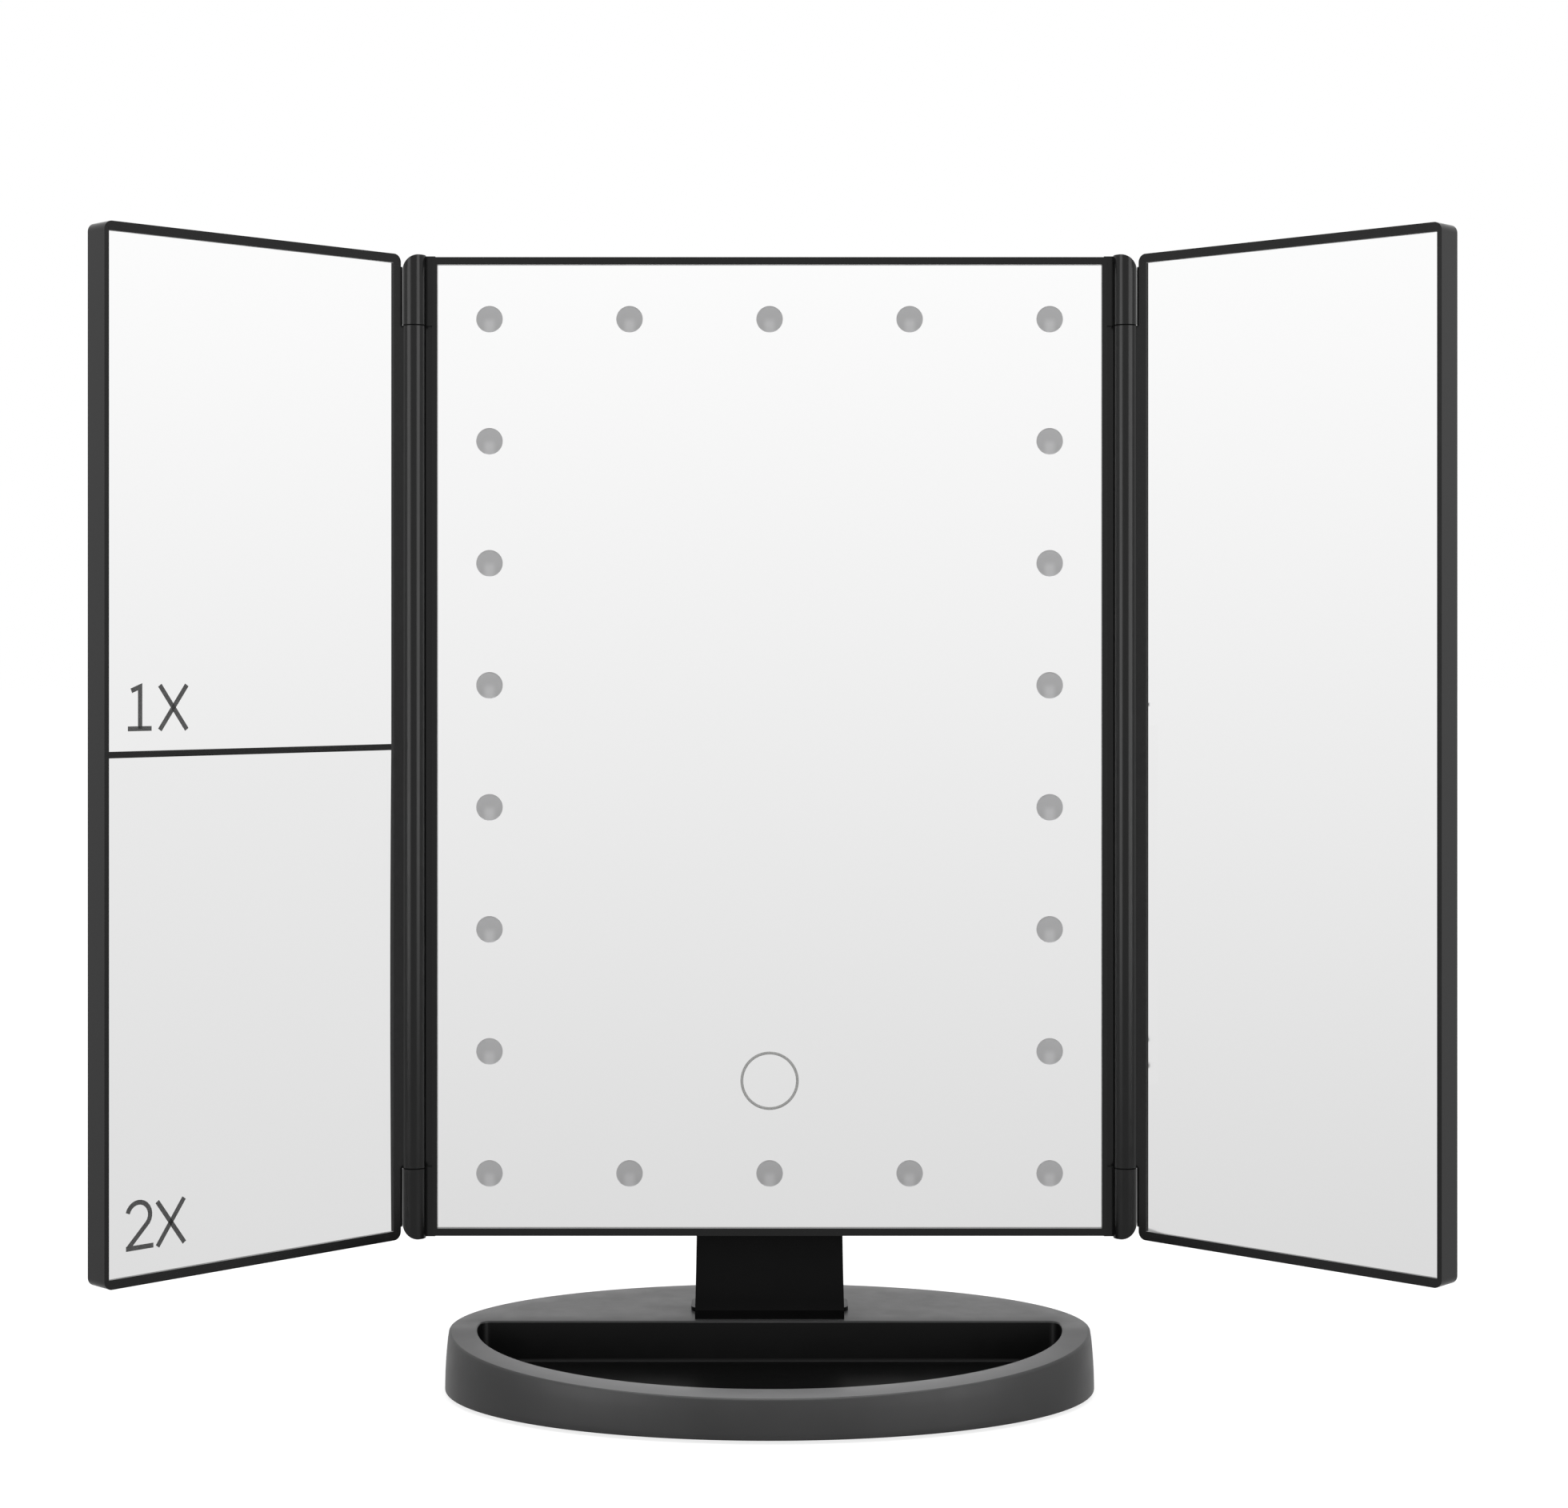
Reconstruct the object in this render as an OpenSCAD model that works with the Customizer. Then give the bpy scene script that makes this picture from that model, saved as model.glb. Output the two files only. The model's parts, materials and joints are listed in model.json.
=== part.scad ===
// Trifold vanity mirror: a lit centre panel with two folding side mirrors, on a tilting neck
// and an oval base with a tray. Millimetres, +Z up, the mirrors face -Y, and the origin lies
// under the base's oval, on the table, in the plane of the two wing hinges.

/* [Centre panel] */
// Width of the centre frame, over its side walls
panel_w = 165; // [150:0.2:200]
// Height of the wings and the hinge columns, which the centre frame follows
wing_h = 240; // [226:0.5:270]
// How far the wings and the hinge columns stand past the centre frame at each end
column_over = 0.3; // [0:0.1:1]
// Height of the centre frame's lower edge above the table
panel_lift = 37.9; // [34:0.1:60]
// Thickness of the frame's side walls
panel_side_wall = 1.2; // [1:0.1:2]
// Thickness of the frame's top and bottom walls
panel_end_wall = 1.8; // [1.2:0.1:3]
// Thickness of the floor that the glass is taped to
floor_t = 1.4; // [1.2:0.1:2]
// Room behind the floor for boards and wires
hollow_t = 4; // [3.6:0.1:6]
// Thickness of the back cover
cover_t = 1.6; // [1.4:0.1:2.4]

/* [Glass] */
// Thickness of every mirror glass
glass_t = 2; // [1.6:0.1:3]
// How far the glass lies behind the frame's lip
glass_recess = 1; // [0.6:0.1:1.5]
// Thickness of the foam tape behind the glass
tape_t = 0.6; // [0.4:0.1:1]
// Width of the foam tape
tape_w = 5; // [4:0.5:5.5]
// Depth of the frosted windows and the touch mark in the glass
frost_t = 0.2; // [0.1:0.05:0.4]

/* [Lights] */
// Diameter of a frosted light window
window_d = 6.5; // [5:0.5:9]
// From the glass's side edge to the centres of the outer windows
window_side = 12.7; // [12.5:0.1:16]
// From the glass's end edge to the centres of the outer windows
window_end = 13.3; // [13:0.1:18]
// Windows in each upright column
window_rows = 8; // [4:1:10]
// Windows in the top and bottom rows
window_cols = 5; // [3:1:7]
// Width of a light board
board_w = 9; // [8:0.5:10]
// Thickness of a light board
board_t = 1; // [0.6:0.1:1.4]
// Length of a light-emitting diode's body
led_l = 3.5; // [2.5:0.1:5]
// Height of a light-emitting diode's body
led_w = 2.8; // [2:0.1:4]
// Thickness of a light-emitting diode's body
led_t = 1.2; // [0.8:0.1:1.4]
// Diameter of the touch mark
touch_d = 14.3; // [10:0.1:18]
// Width of the touch mark's line
touch_line = 0.5; // [0.3:0.1:1]
// From the glass's lower edge to the touch mark's centre
touch_up = 36; // [32:0.5:40]

/* [Wings] */
// From a wing's hinge axis to its free edge
wing_reach = 86.6; // [82:0.1:86.6]
// From a wing's hinge axis to the near edge of its frame
wing_root = 3.7; // [3.5:0.1:5]
// Room behind a wing's floor
wing_hollow_t = 0.6; // [0.4:0.1:2.4]
// Thickness of a wing's wall along its free edge
wing_side_wall = 1.2; // [0.8:0.1:1.6]
// Thickness of a wing's wall beside its hinge
wing_root_wall = 2.2; // [1:0.1:3]
// Thickness of a wing's end walls
wing_end_wall = 2.2; // [1.6:0.1:3]
// Radius of a wing's corners
wing_corner_r = 2; // [1:0.1:2.5]
// Thickness of a wing's back cover
wing_cover_t = 1.4; // [1.2:0.1:1.8]
// How far the left wing is folded forward from flat
left_wing_angle = 44.5; // [0:0.5:90]
// How far the right wing is folded forward from flat
right_wing_angle = 42.5; // [0:0.5:90]
// Height of the bar between the left wing's two mirrors
divider_h = 1.5; // [1:0.1:3]
// How far the bar stands in front of the glass
divider_proud = 0.4; // [0.2:0.1:0.8]
// Depth of the magnifying mirror's dish
dish_t = 0.6; // [0.3:0.1:1]

/* [Wing hinges] */
// Diameter of the hinge barrels
barrel_d = 5.8; // [5.5:0.1:6.4]
// Gap between the centre frame and the barrels
barrel_gap = 1.5; // [1.5:0.1:2.5]
// From the hinge axes back to the frames' front lips
fold_gap = 0.4; // [0.3:0.05:0.8]
// Height of a fixed knuckle
knuckle_h = 17; // [12:0.5:24]
// Gap between a fixed knuckle and the wing's barrel
knuckle_gap = 0.3; // [0.2:0.05:0.6]
// Radius of the hinge columns' outer corners
column_corner_r = 4.5; // [2:0.5:5]
// Diameter of a wing's hinge pin
hinge_pin_d = 2; // [1.6:0.1:2.6]
// How deep a hinge pin sits in the wing's barrel
hinge_pin_grip = 12; // [8:1:20]
// Radial clearance of a pin that turns
pin_clear = 0.05; // [0.02:0.01:0.1]

/* [Tilt hinge] */
// From the panel's lower edge up to the tilt axis
tilt_up = 22; // [20:0.5:26]
// From the panel's back to the tilt axis
tilt_back = 11; // [10.5:0.5:14]
// Radius of the neck's knuckle and of the ears round it
tilt_r = 6; // [5:0.5:7]
// Diameter of the tilt pin
tilt_pin_d = 4; // [3:0.5:5]
// Width of the neck's knuckle
tilt_w = 36; // [30:0.2:36]
// Thickness of each ear
ear_t = 6; // [4:0.5:8]
// Thickness of a friction washer
washer_t = 0.7; // [0.5:0.1:1.2]
// Gap between a friction washer and its ear
washer_gap = 0.1; // [0.05:0.05:0.3]

/* [Battery housing] */
// Diameter of a battery cell
cell_d = 10.5; // [10:0.1:10.8]
// Length of a battery cell with its button
cell_l = 44.5; // [40:0.5:50]
// Gap between neighbouring cells
cell_gap = 0.5; // [0.2:0.1:1]
// Number of cells
cell_count = 4; // [2:1:4]
// Room for the contact at each end of a cell
contact_room = 2; // [1.6:0.1:3]
// Thickness of a contact plate
contact_t = 0.4; // [0.3:0.1:0.6]
// Wall of the battery tray
tray_wall = 1.2; // [1:0.1:2]
// Wall of the housings on the back cover
housing_wall = 1.8; // [1.4:0.1:2.4]
// Gap between the lower and the upper housing's insides
housing_gap = 2; // [1.8:0.1:6]
// Thickness of the battery door
door_t = 1.6; // [1.2:0.1:2.4]
// Gap round the battery door
door_gap = 0.25; // [0.15:0.05:0.5]
// Height of the control board
control_h = 42; // [38:1:50]
// Width of the control board
control_w = 60; // [54:1:64]
// Thickness of the control board
control_t = 1.4; // [1:0.1:1.6]
// Room between the control board and its housing's rear wall
control_room = 5; // [4:0.5:7]

/* [Switch and socket] */
// Travel of the slide switch
switch_travel = 3; // [2:0.5:4]
// Width of the switch's knob
knob_w = 5; // [4:0.5:7]
// Height of the switch's knob
knob_h = 3.6; // [3:0.2:5]
// How far the knob stands out of the housing
knob_proud = 1.2; // [0.8:0.1:2]
// Running gap round the knob
knob_gap = 0.3; // [0.2:0.05:0.5]
// Width of the power socket
socket_w = 9; // [7.5:0.1:10]
// Height of the power socket
socket_h = 3.6; // [3:0.1:4.5]
// Wall of the power socket
socket_wall = 0.4; // [0.3:0.1:0.6]
// From the middle of the housing out to the switch and the socket
port_side = 20; // [16:0.5:24]

/* [Base] */
// Width of the base at its foot
base_w = 158.6; // [150:0.2:180]
// Depth of the base at its foot
base_d = 100; // [92:0.5:120]
// How far the base's centre lies behind the wing hinges
base_y = 1.5; // [0:0.5:4]
// Height of the base's flat deck
deck_z = 15.5; // [14.5:0.5:24]
// Height of the base's front edge
front_z = 10; // [9:0.5:14]
// Thickness of the base's outer wall
base_wall = 2.2; // [1.8:0.1:3]
// Thickness of the deck
deck_t = 2; // [1.6:0.1:3]
// Width of the rim round the tray, at the base's foot
rim_w = 7.8; // [5.8:0.1:9]
// Thickness of the tray's wall
recess_wall = 1.8; // [1.4:0.1:2.4]
// Height of the tray's floor
recess_z = 5.4; // [5.2:0.1:8]
// How far the tray's straight back wall lies behind the wing hinges
recess_y = 7.3; // [2:0.1:8.5]
// Radius of the tray's back corners
recess_r = 2.5; // [1:0.5:4]
// Gap under the base's wall, above the table
skirt_z = 0.8; // [0.5:0.1:1.5]
// Thickness of the bottom cover
bottom_t = 2.4; // [2.2:0.1:2.6]
// Gap round the bottom cover
bottom_gap = 0.2; // [0.1:0.05:0.4]
// Width of the rubber foot ring
ring_w = 6; // [4:0.5:8]
// How deep the rubber foot ring sits in the bottom cover
ring_sunk = 0.8; // [0.5:0.1:1]
// Thickness of the steel counterweight
weight_t = 7; // [4:0.5:8]
// Gap round the counterweight
weight_gap = 3; // [2:0.5:6]

/* [Neck] */
// Width of the neck at the deck
neck_w = 37; // [36:0.1:42]
// Depth of the neck behind the panel
neck_t = 12; // [11:0.5:14]
// How far the neck's front sweeps forward at the deck
neck_sweep = 6.6; // [0:0.2:7]
// Height of the upright lip under the neck's sweep
neck_lip = 2.2; // [1:0.2:4]
// How far the neck's collar stands out
collar_out = 1.2; // [0.8:0.1:2]
// Height of the neck's collar
collar_h = 1; // [0.8:0.1:2]
// Wall of the neck
neck_wall = 3; // [2:0.5:4]
// Thickness of the neck's rear cover
neck_cover_t = 1.4; // [1:0.1:2]

/* [Screws] */
// Diameter of a large screw's thread
screw_d = 3; // [2.5:0.5:3.5]
// Diameter of a large screw's head
screw_head_d = 5.6; // [5:0.1:6.4]
// Height of a large screw's head
screw_head_t = 1.4; // [1:0.1:1.6]
// Diameter of a small screw's thread
small_screw_d = 2.2; // [1.8:0.1:2.6]
// Diameter of a small screw's head
small_head_d = 4.4; // [4:0.1:5]
// Height of a small screw's head
small_head_t = 0.8; // [0.6:0.1:1]
// Wall of a screw boss
boss_wall = 1.2; // [1:0.1:2]
// Radial clearance of a screw in a hole that it passes through
screw_clear = 0.2; // [0.1:0.05:0.4]

/* [Hidden] */

$fn = 48;
oval_steps = 96;    // sides of the base's oval
eps = 1;            // how far a cutter runs past what it cuts
screw_end = 1;      // what is left past the end of a screw

// Panel layers, counted back from the hinge axes' plane
panel_h = wing_h - 2 * column_over;
lip_y = fold_gap;
glass_y = lip_y + glass_recess;
tape_y = glass_y + glass_t;
floor_y = tape_y + tape_t;
inside_y = floor_y + floor_t;
cover_y = inside_y + hollow_t;
back_y = cover_y + cover_t;
panel_z = panel_lift + panel_h / 2;
glass_w = panel_w - 2 * panel_side_wall;
glass_h = panel_h - 2 * panel_end_wall;
tape_in = 0.5;      // from the glass's edge to its tape

// Lights and touch mark, from the glass's edges
window_x = glass_w / 2 - window_side;
window_z = glass_h / 2 - window_end;
row_pitch = 2 * window_z / (window_rows - 1);
col_pitch = 2 * window_x / (window_cols - 1);
window_places = concat(
    [for (i = [0 : window_rows - 1], s = [-1, 1]) [s * window_x, -window_z + i * row_pitch]],
    [for (i = [1 : window_cols - 2], s = [-1, 1]) [-window_x + i * col_pitch, s * window_z]]);
led_hole_gap = 0.55;
led_hole_d = window_d + 2 * led_hole_gap;
touch_z = panel_z - glass_h / 2 + touch_up;
touch_pad_in = 0.65;
touch_pad_t = 0.3;
touch_spring_d = 5;
touch_spring_wall = 0.5;
touch_hole_gap = 0.5;
touch_hole_d = touch_d + 2 * touch_hole_gap;

// Wing hinges
hinge_x = panel_w / 2 + barrel_gap + barrel_d / 2;
column_z = panel_z - wing_h / 2;
barrel_z = column_z + knuckle_h + knuckle_gap;
barrel_h = wing_h - 2 * (knuckle_h + knuckle_gap);
bridge_y = lip_y + glass_recess;
shield_clear = 0.4;    // round the wing's barrel
shield_in = 1;
shield_y = bridge_y + shield_in;
web_t = 2.4;
pin_end_gap = 0.5;

// Wing layers and widths, in the wing's own frame: the axis at 0, the wing along +X
wing_floor_y = floor_y;
wing_inside_y = wing_floor_y + floor_t;
wing_back_y = wing_inside_y + wing_hollow_t + wing_cover_t;
wing_w = wing_reach - wing_root;
wing_glass_w = wing_w - wing_side_wall - wing_root_wall;
wing_glass_h = wing_h - 2 * wing_end_wall;
wing_mid_x = wing_root + wing_w / 2;
wing_glass_x = wing_root + wing_root_wall + wing_glass_w / 2;
half_glass_h = (wing_glass_h - divider_h) / 2;
dish_past = 1;          // how far the dish's edge lies past the glass's corners
dish_reach = sqrt(pow(wing_glass_w, 2) + pow(half_glass_h, 2)) / 2 + dish_past;
dish_steps = 10;        // rings of the dish
post_d = 5;
post_side = 11.2;       // from the glass's edges to the posts behind it
post_end = 23.6;

// Tilt hinge
tilt_y = back_y + tilt_back;
tilt_z = panel_lift + tilt_up;
ear_x = tilt_w / 2 + washer_t + washer_gap;
tilt_bore_d = tilt_pin_d + 2 * pin_clear;
tilt_head_out = 1.5;
tilt_head_d = tilt_pin_d + 2 * tilt_head_out;
tilt_head_t = 1.5;
tilt_nut_out = 0.5;
tilt_nut_d = tilt_head_d + 2 * tilt_nut_out;
tilt_nut_t = 2.2;
tilt_pin_tail = 0.6;
washer_in = 0.5;

// Battery bay in the upper housing, control board in the lower one
cell_pitch = cell_d + cell_gap;
bay_w = cell_count * cell_pitch;
bay_h = cell_l + 2 * contact_room;
tray_y = inside_y;
door_seat = 0.1;        // between the battery tray and the door
button_d = 3.8;
button_h = 1;
contact_w = 8.4;
spring_d = 5.2;
cell_y = tray_y + tray_wall + cell_d / 2;
tray_top_y = cell_y + cell_d / 2 + cell_gap;
door_y = tray_top_y + door_seat;
door_back_y = door_y + door_t;
door_w = bay_w + 2 * tray_wall;
door_h = bay_h + 2 * tray_wall;
grip_count = 5;         // finger ridges on the battery door
grip_pitch = 1.8;
grip_w = 14;
grip_h = 0.8;
grip_proud = 0.5;
grip_down = 5;
board_gap = 0.4;
control_y = inside_y + board_t + board_gap;
control_back_y = control_y + control_t;
control_z0 = touch_z - touch_hole_d / 2;
control_z = control_z0 + control_h / 2;
control_gap = 1;
lower_in_w = control_w + 2 * control_gap;
lower_in_h = control_h + 2 * control_gap;
lower_back_y = control_back_y + control_room + housing_wall;
bay_z = control_z + lower_in_h / 2 + housing_gap + tray_wall + bay_h / 2;
port_down = 2;          // from the board's middle to the switch and the socket
port_z = control_z - port_down;
slot_w = knob_w + switch_travel + 2 * knob_gap;
slot_h = knob_h + 2 * knob_gap;
housing_corner_r = 3;
switch_wall = 1;
socket_floor = 1;
control_post_d = 4;
control_post_in = 3;
lead_up = 10;           // the leads to the lights, above the board's middle
lead_pitch = 2;
lead_side = 15;         // the leads to the battery tray, beside the board's middle
driver_size = [6, 5, 1.6];      // chips on the board: width, height and thickness
sensor_size = [4, 5, 1.2];
coil_size = [7, 7, 3];
chip_up = 12;
sensor_side = 3;
coil_side = 12;
capacitor_d = 5;
capacitor_l = 4;
capacitor_side = 24;

// Base
base_front_y = base_y - base_d / 2;
slope_angle = atan((deck_z - front_z) / -base_front_y);
bottom_z = skirt_z + bottom_t;
ring_in = 4.3;          // from the bottom cover's edge to the foot ring
ring_inset = base_wall + bottom_gap + ring_in;
weight_y0 = recess_y + recess_wall + weight_gap;
boss_d = screw_d + 2 * boss_wall;
head_hole_d = screw_head_d + 4 * screw_clear;
outer_screw_side = 22;  // base screws, in from the base's sides and its back
outer_screw_back = 37;
inner_screw_side = 49;
inner_screw_back = 23.5;
base_screw_places = [for (s = [-1, 1],
    p = [[outer_screw_side, outer_screw_back], [inner_screw_side, inner_screw_back]])
    [s * (base_w / 2 - p[0]), base_y + base_d / 2 - p[1]]];
weight_screw_side = 38; // counterweight screws, in from the base's sides and from its front
weight_screw_in = 8;
weight_screw_places = [for (s = [-1, 1])
    [s * (base_w / 2 - weight_screw_side), weight_y0 + weight_screw_in]];

// Neck
neck_back_y = tilt_y + tilt_r;
neck_front_y = neck_back_y - neck_t;
neck_screw_back = 8;
neck_mid_y = neck_back_y - neck_screw_back;
sweep_z = tilt_z - tilt_r - neck_t;
collar_back = 1.2;      // from the plain part of the neck's front back to the collar's front edge
collar_front = neck_front_y + collar_back;
neck_screw_x = 10;
neck_screw_l = 14;
neck_in_z0 = deck_z + neck_screw_l - screw_head_t - deck_t + screw_end;
neck_in_top = 2;
neck_in_z1 = tilt_z - tilt_r - neck_in_top;
neck_turn = 4;          // from the knuckle down to where the neck starts to widen
neck_steps = 12;        // points along the neck's sweep
neck_boss_wall = 1.6;
neck_boss_d = small_screw_d + 2 * neck_boss_wall;
collar_r = 3;
neck_cover_screw_z = [neck_in_z0 + neck_boss_d / 2, neck_in_z1 - neck_boss_d / 2];

// Cover screws
cover_boss_d = small_screw_d + 2 * boss_wall;
cover_screw_side = 0.6; // from the frame's side wall to the screw's boss
cover_screw_end = 28.7; // from the frame's ends to the end screws
cover_screw_x = glass_w / 2 - cover_boss_d / 2 - cover_screw_side;
cover_screw_places = [for (s = [-1, 1], k = [-1, 0, 1])
    [s * cover_screw_x, k * (panel_h / 2 - cover_screw_end)]];
cover_screw_l = cover_t + hollow_t - screw_end;

case_black = [0.13, 0.13, 0.135];
case_grey = [0.27, 0.27, 0.275];
inner_white = [0.9, 0.9, 0.88];
glass_silver = [0.86, 0.88, 0.9];
steel = [0.68, 0.69, 0.7];
rubber_black = [0.07, 0.07, 0.07];
board_green = [0.1, 0.35, 0.2];
copper = [0.75, 0.5, 0.3];
frost_grey = [0.7, 0.7, 0.69];
mark_grey = [0.5, 0.5, 0.5];
diode_yellow = [0.95, 0.9, 0.6];
chip_black = [0.08, 0.08, 0.09];
wire_red = [0.6, 0.1, 0.1];
cell_green = [0.2, 0.3, 0.2];

// ---- shared shapes ----

// A cylinder along Y, X or Z that starts at a point
module rod_y(p, d, l) translate(p) rotate([-90, 0, 0]) cylinder(d = d, h = l);
module rod_x(p, d, l) translate(p) rotate([0, 90, 0]) cylinder(d = d, h = l);
module rod_z(p, d, l) translate(p) cylinder(d = d, h = l);

// A slab facing Y, centred on x and z
module slab_y(x, z, w, h, y0, t) translate([x - w / 2, y0, z - h / 2]) cube([w, t, h]);

// A rectangle with round corners, centred on the origin
module round_rect(w, h, r) {
    square([w - 2 * r, h], center = true);
    square([w, h - 2 * r], center = true);
    for (x = [-1, 1], z = [-1, 1]) translate([x * (w / 2 - r), z * (h / 2 - r)]) circle(r);
}

// The same rectangle as a slab facing Y
module round_slab_y(x, z, w, h, r, y0, t)
    translate([x, y0 + t, z]) rotate([90, 0, 0]) linear_extrude(t) round_rect(w, h, r);

// A pan-head screw along +Z, its head's top at z = 0 and its thread above it
module screw_up(p, d, head_d, head_t, l) translate(p) {
    cylinder(d = head_d, h = head_t);
    cylinder(d = d, h = l);
}

// A pan-head screw along -Y, its head's outer face at p
module screw_in(p, d, head_d, head_t, l) translate(p) rotate([90, 0, 0]) {
    cylinder(d = head_d, h = head_t);
    cylinder(d = d, h = l);
}

// ---- base ----

// The base's oval outline, set in by inset
function oval_points(inset) = [for (i = [0 : oval_steps - 1]) let (a = 360 * i / oval_steps)
    [(base_w / 2 - inset) * cos(a), base_y + (base_d / 2 - inset) * sin(a)]];

// Half the outline's width, set in by inset, at a given y
function oval_half(inset, y) =
    (base_w / 2 - inset) * sqrt(1 - pow((y - base_y) / (base_d / 2 - inset), 2));

// An upright prism of that outline
module oval(inset, z0, h) translate([0, 0, z0]) linear_extrude(h) polygon(oval_points(inset));

// Everything above the sloping front of the base, lowered by drop
module above_slope(drop) translate([0, 0, deck_z - drop]) rotate([slope_angle, 0, 0])
    translate([-base_w, -2 * base_d, 0]) cube([2 * base_w, 2 * base_d, 2 * deck_z]);

// The half of the base in front of the line y
module front_of(y) translate([-base_w, y - 2 * base_d, -eps])
    cube([2 * base_w, 2 * base_d, 2 * deck_z]);

module base_block() difference() {
    oval(0, skirt_z, deck_z - skirt_z);
    above_slope(0);
}

module base_hollow() difference() {
    oval(base_wall, skirt_z - eps, deck_z - deck_t - skirt_z + eps);
    above_slope(deck_t);
}

// The half-moon tray, seen from above, with round back corners
module recess_outline() {
    turn_y = recess_y - recess_r;
    turn_x = oval_half(rim_w + recess_r, turn_y);
    intersection() {
        polygon(oval_points(rim_w));
        translate([-base_w, turn_y - 2 * base_d]) square([2 * base_w, 2 * base_d]);
    }
    translate([-turn_x, turn_y - eps]) square([2 * turn_x, recess_r + eps]);
    for (s = [-1, 1]) translate([s * turn_x, turn_y]) circle(recess_r);
}

// The solid round the tray: its walls and floor
module recess_block() intersection() {
    oval(rim_w - recess_wall, recess_z - recess_wall, deck_z);
    front_of(recess_y + recess_wall);
}

module base_shell() color(case_grey) difference() {
    base_block();
    difference() {
        base_hollow();
        recess_block();
        for (p = base_screw_places) rod_z([p[0], p[1], bottom_z], boss_d, deck_z);
    }
    translate([0, 0, recess_z]) linear_extrude(deck_z) recess_outline();
    for (p = base_screw_places)
        rod_z([p[0], p[1], bottom_z - eps], screw_d, deck_z - 2 * deck_t - bottom_z + eps);
    for (s = [-1, 1])
        rod_z([s * neck_screw_x, neck_mid_y, deck_z - deck_t - eps],
            screw_d + 2 * screw_clear, deck_t + 2 * eps);
}

module ring_band(z0, h) difference() {
    oval(ring_inset, z0, h);
    oval(ring_inset + ring_w, z0 - eps, h + 2 * eps);
}

module base_cover() color(case_black) difference() {
    oval(base_wall + bottom_gap, skirt_z, bottom_t);
    ring_band(skirt_z - eps, ring_sunk + eps);
    for (p = concat(base_screw_places, weight_screw_places)) {
        rod_z([p[0], p[1], skirt_z - eps], screw_d + 2 * screw_clear, bottom_t + 2 * eps);
        rod_z([p[0], p[1], skirt_z - eps], head_hole_d, screw_head_t + eps);
    }
}

module foot_ring() color(rubber_black) ring_band(0, skirt_z + ring_sunk);

module counterweight() color(steel) difference() {
    oval(base_wall + weight_gap, bottom_z, weight_t);
    front_of(weight_y0);
    for (p = base_screw_places)
        rod_z([p[0], p[1], bottom_z - eps], boss_d + weight_gap, weight_t + 2 * eps);
    for (p = weight_screw_places)
        rod_z([p[0], p[1], bottom_z - eps], screw_d, weight_t + 2 * eps);
}

module base_screws() color(steel) for (p = base_screw_places)
    screw_up([p[0], p[1], skirt_z], screw_d, screw_head_d, screw_head_t,
        deck_z - 2 * deck_t - skirt_z - screw_end);

module weight_screws() color(steel) for (p = weight_screw_places)
    screw_up([p[0], p[1], skirt_z], screw_d, screw_head_d, screw_head_t, bottom_t + weight_t - screw_end);

// ---- neck ----

// Side view of the neck as [y, z]: a front that sweeps forward to an upright lip, a plain back
function neck_side() = concat(
    [[neck_back_y, deck_z], [neck_back_y, tilt_z], [neck_front_y, tilt_z]],
    [for (i = [0 : neck_steps]) let (k = i / neck_steps)
        [neck_front_y - neck_sweep * pow(k, 3), sweep_z - k * (sweep_z - deck_z - neck_lip)]],
    [[neck_front_y - neck_sweep, deck_z]]);

// Front view of the neck as [x, z]
function neck_front() = let (top = tilt_z + tilt_r + eps, turn = tilt_z - tilt_r - neck_turn)
    [[-neck_w / 2, deck_z], [neck_w / 2, deck_z], [tilt_w / 2, turn], [tilt_w / 2, top],
    [-tilt_w / 2, top], [-tilt_w / 2, turn]];

module neck_block() {
    intersection() {
        union() {
            translate([-neck_w / 2 - eps, 0, 0]) rotate([90, 0, 90])
                linear_extrude(neck_w + 2 * eps) polygon(neck_side());
            rod_x([-tilt_w / 2, tilt_y, tilt_z], 2 * tilt_r, tilt_w);
        }
        translate([0, neck_back_y + eps, 0]) rotate([90, 0, 0])
            linear_extrude(neck_t + neck_sweep + 3 * eps) polygon(neck_front());
    }
    collar_d = neck_back_y + collar_out - collar_front;
    translate([0, collar_front + collar_d / 2, deck_z]) linear_extrude(collar_h)
        round_rect(neck_w + 2 * collar_out, collar_d, collar_r);
}

module neck_shell() color(case_black) difference() {
    neck_block();
    rod_x([-tilt_w, tilt_y, tilt_z], tilt_bore_d, 2 * tilt_w);
    difference() {
        translate([-tilt_w / 2 + neck_wall, neck_front_y + neck_wall, neck_in_z0])
            cube([tilt_w - 2 * neck_wall, neck_t, neck_in_z1 - neck_in_z0]);
        for (z = neck_cover_screw_z)
            rod_y([0, neck_front_y, z], neck_boss_d, neck_t - neck_cover_t);
    }
    for (z = neck_cover_screw_z)
        rod_y([0, neck_front_y + neck_wall, z], small_screw_d, neck_t);
    for (s = [-1, 1]) rod_z([s * neck_screw_x, neck_mid_y, deck_z - eps], screw_d,
        neck_screw_l - screw_head_t - deck_t + eps);
}

module neck_cover() color(case_black) difference() {
    translate([-tilt_w / 2 + neck_wall, neck_back_y - neck_cover_t, neck_in_z0])
        cube([tilt_w - 2 * neck_wall, neck_cover_t, neck_in_z1 - neck_in_z0]);
    for (z = neck_cover_screw_z) {
        rod_y([0, neck_back_y - neck_t, z], small_screw_d + 2 * screw_clear, 2 * neck_t);
        rod_y([0, neck_back_y - small_head_t, z], small_head_d + 2 * screw_clear, 2 * small_head_t);
    }
}

module neck_screws() color(steel) for (s = [-1, 1])
    screw_up([s * neck_screw_x, neck_mid_y, deck_z - deck_t - screw_head_t],
        screw_d, screw_head_d, screw_head_t, neck_screw_l);

module neck_cover_screws() color(steel) for (z = neck_cover_screw_z)
    screw_in([0, neck_back_y, z], small_screw_d, small_head_d, small_head_t,
        neck_t - neck_wall - screw_end);

// ---- tilt hinge ----

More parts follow.
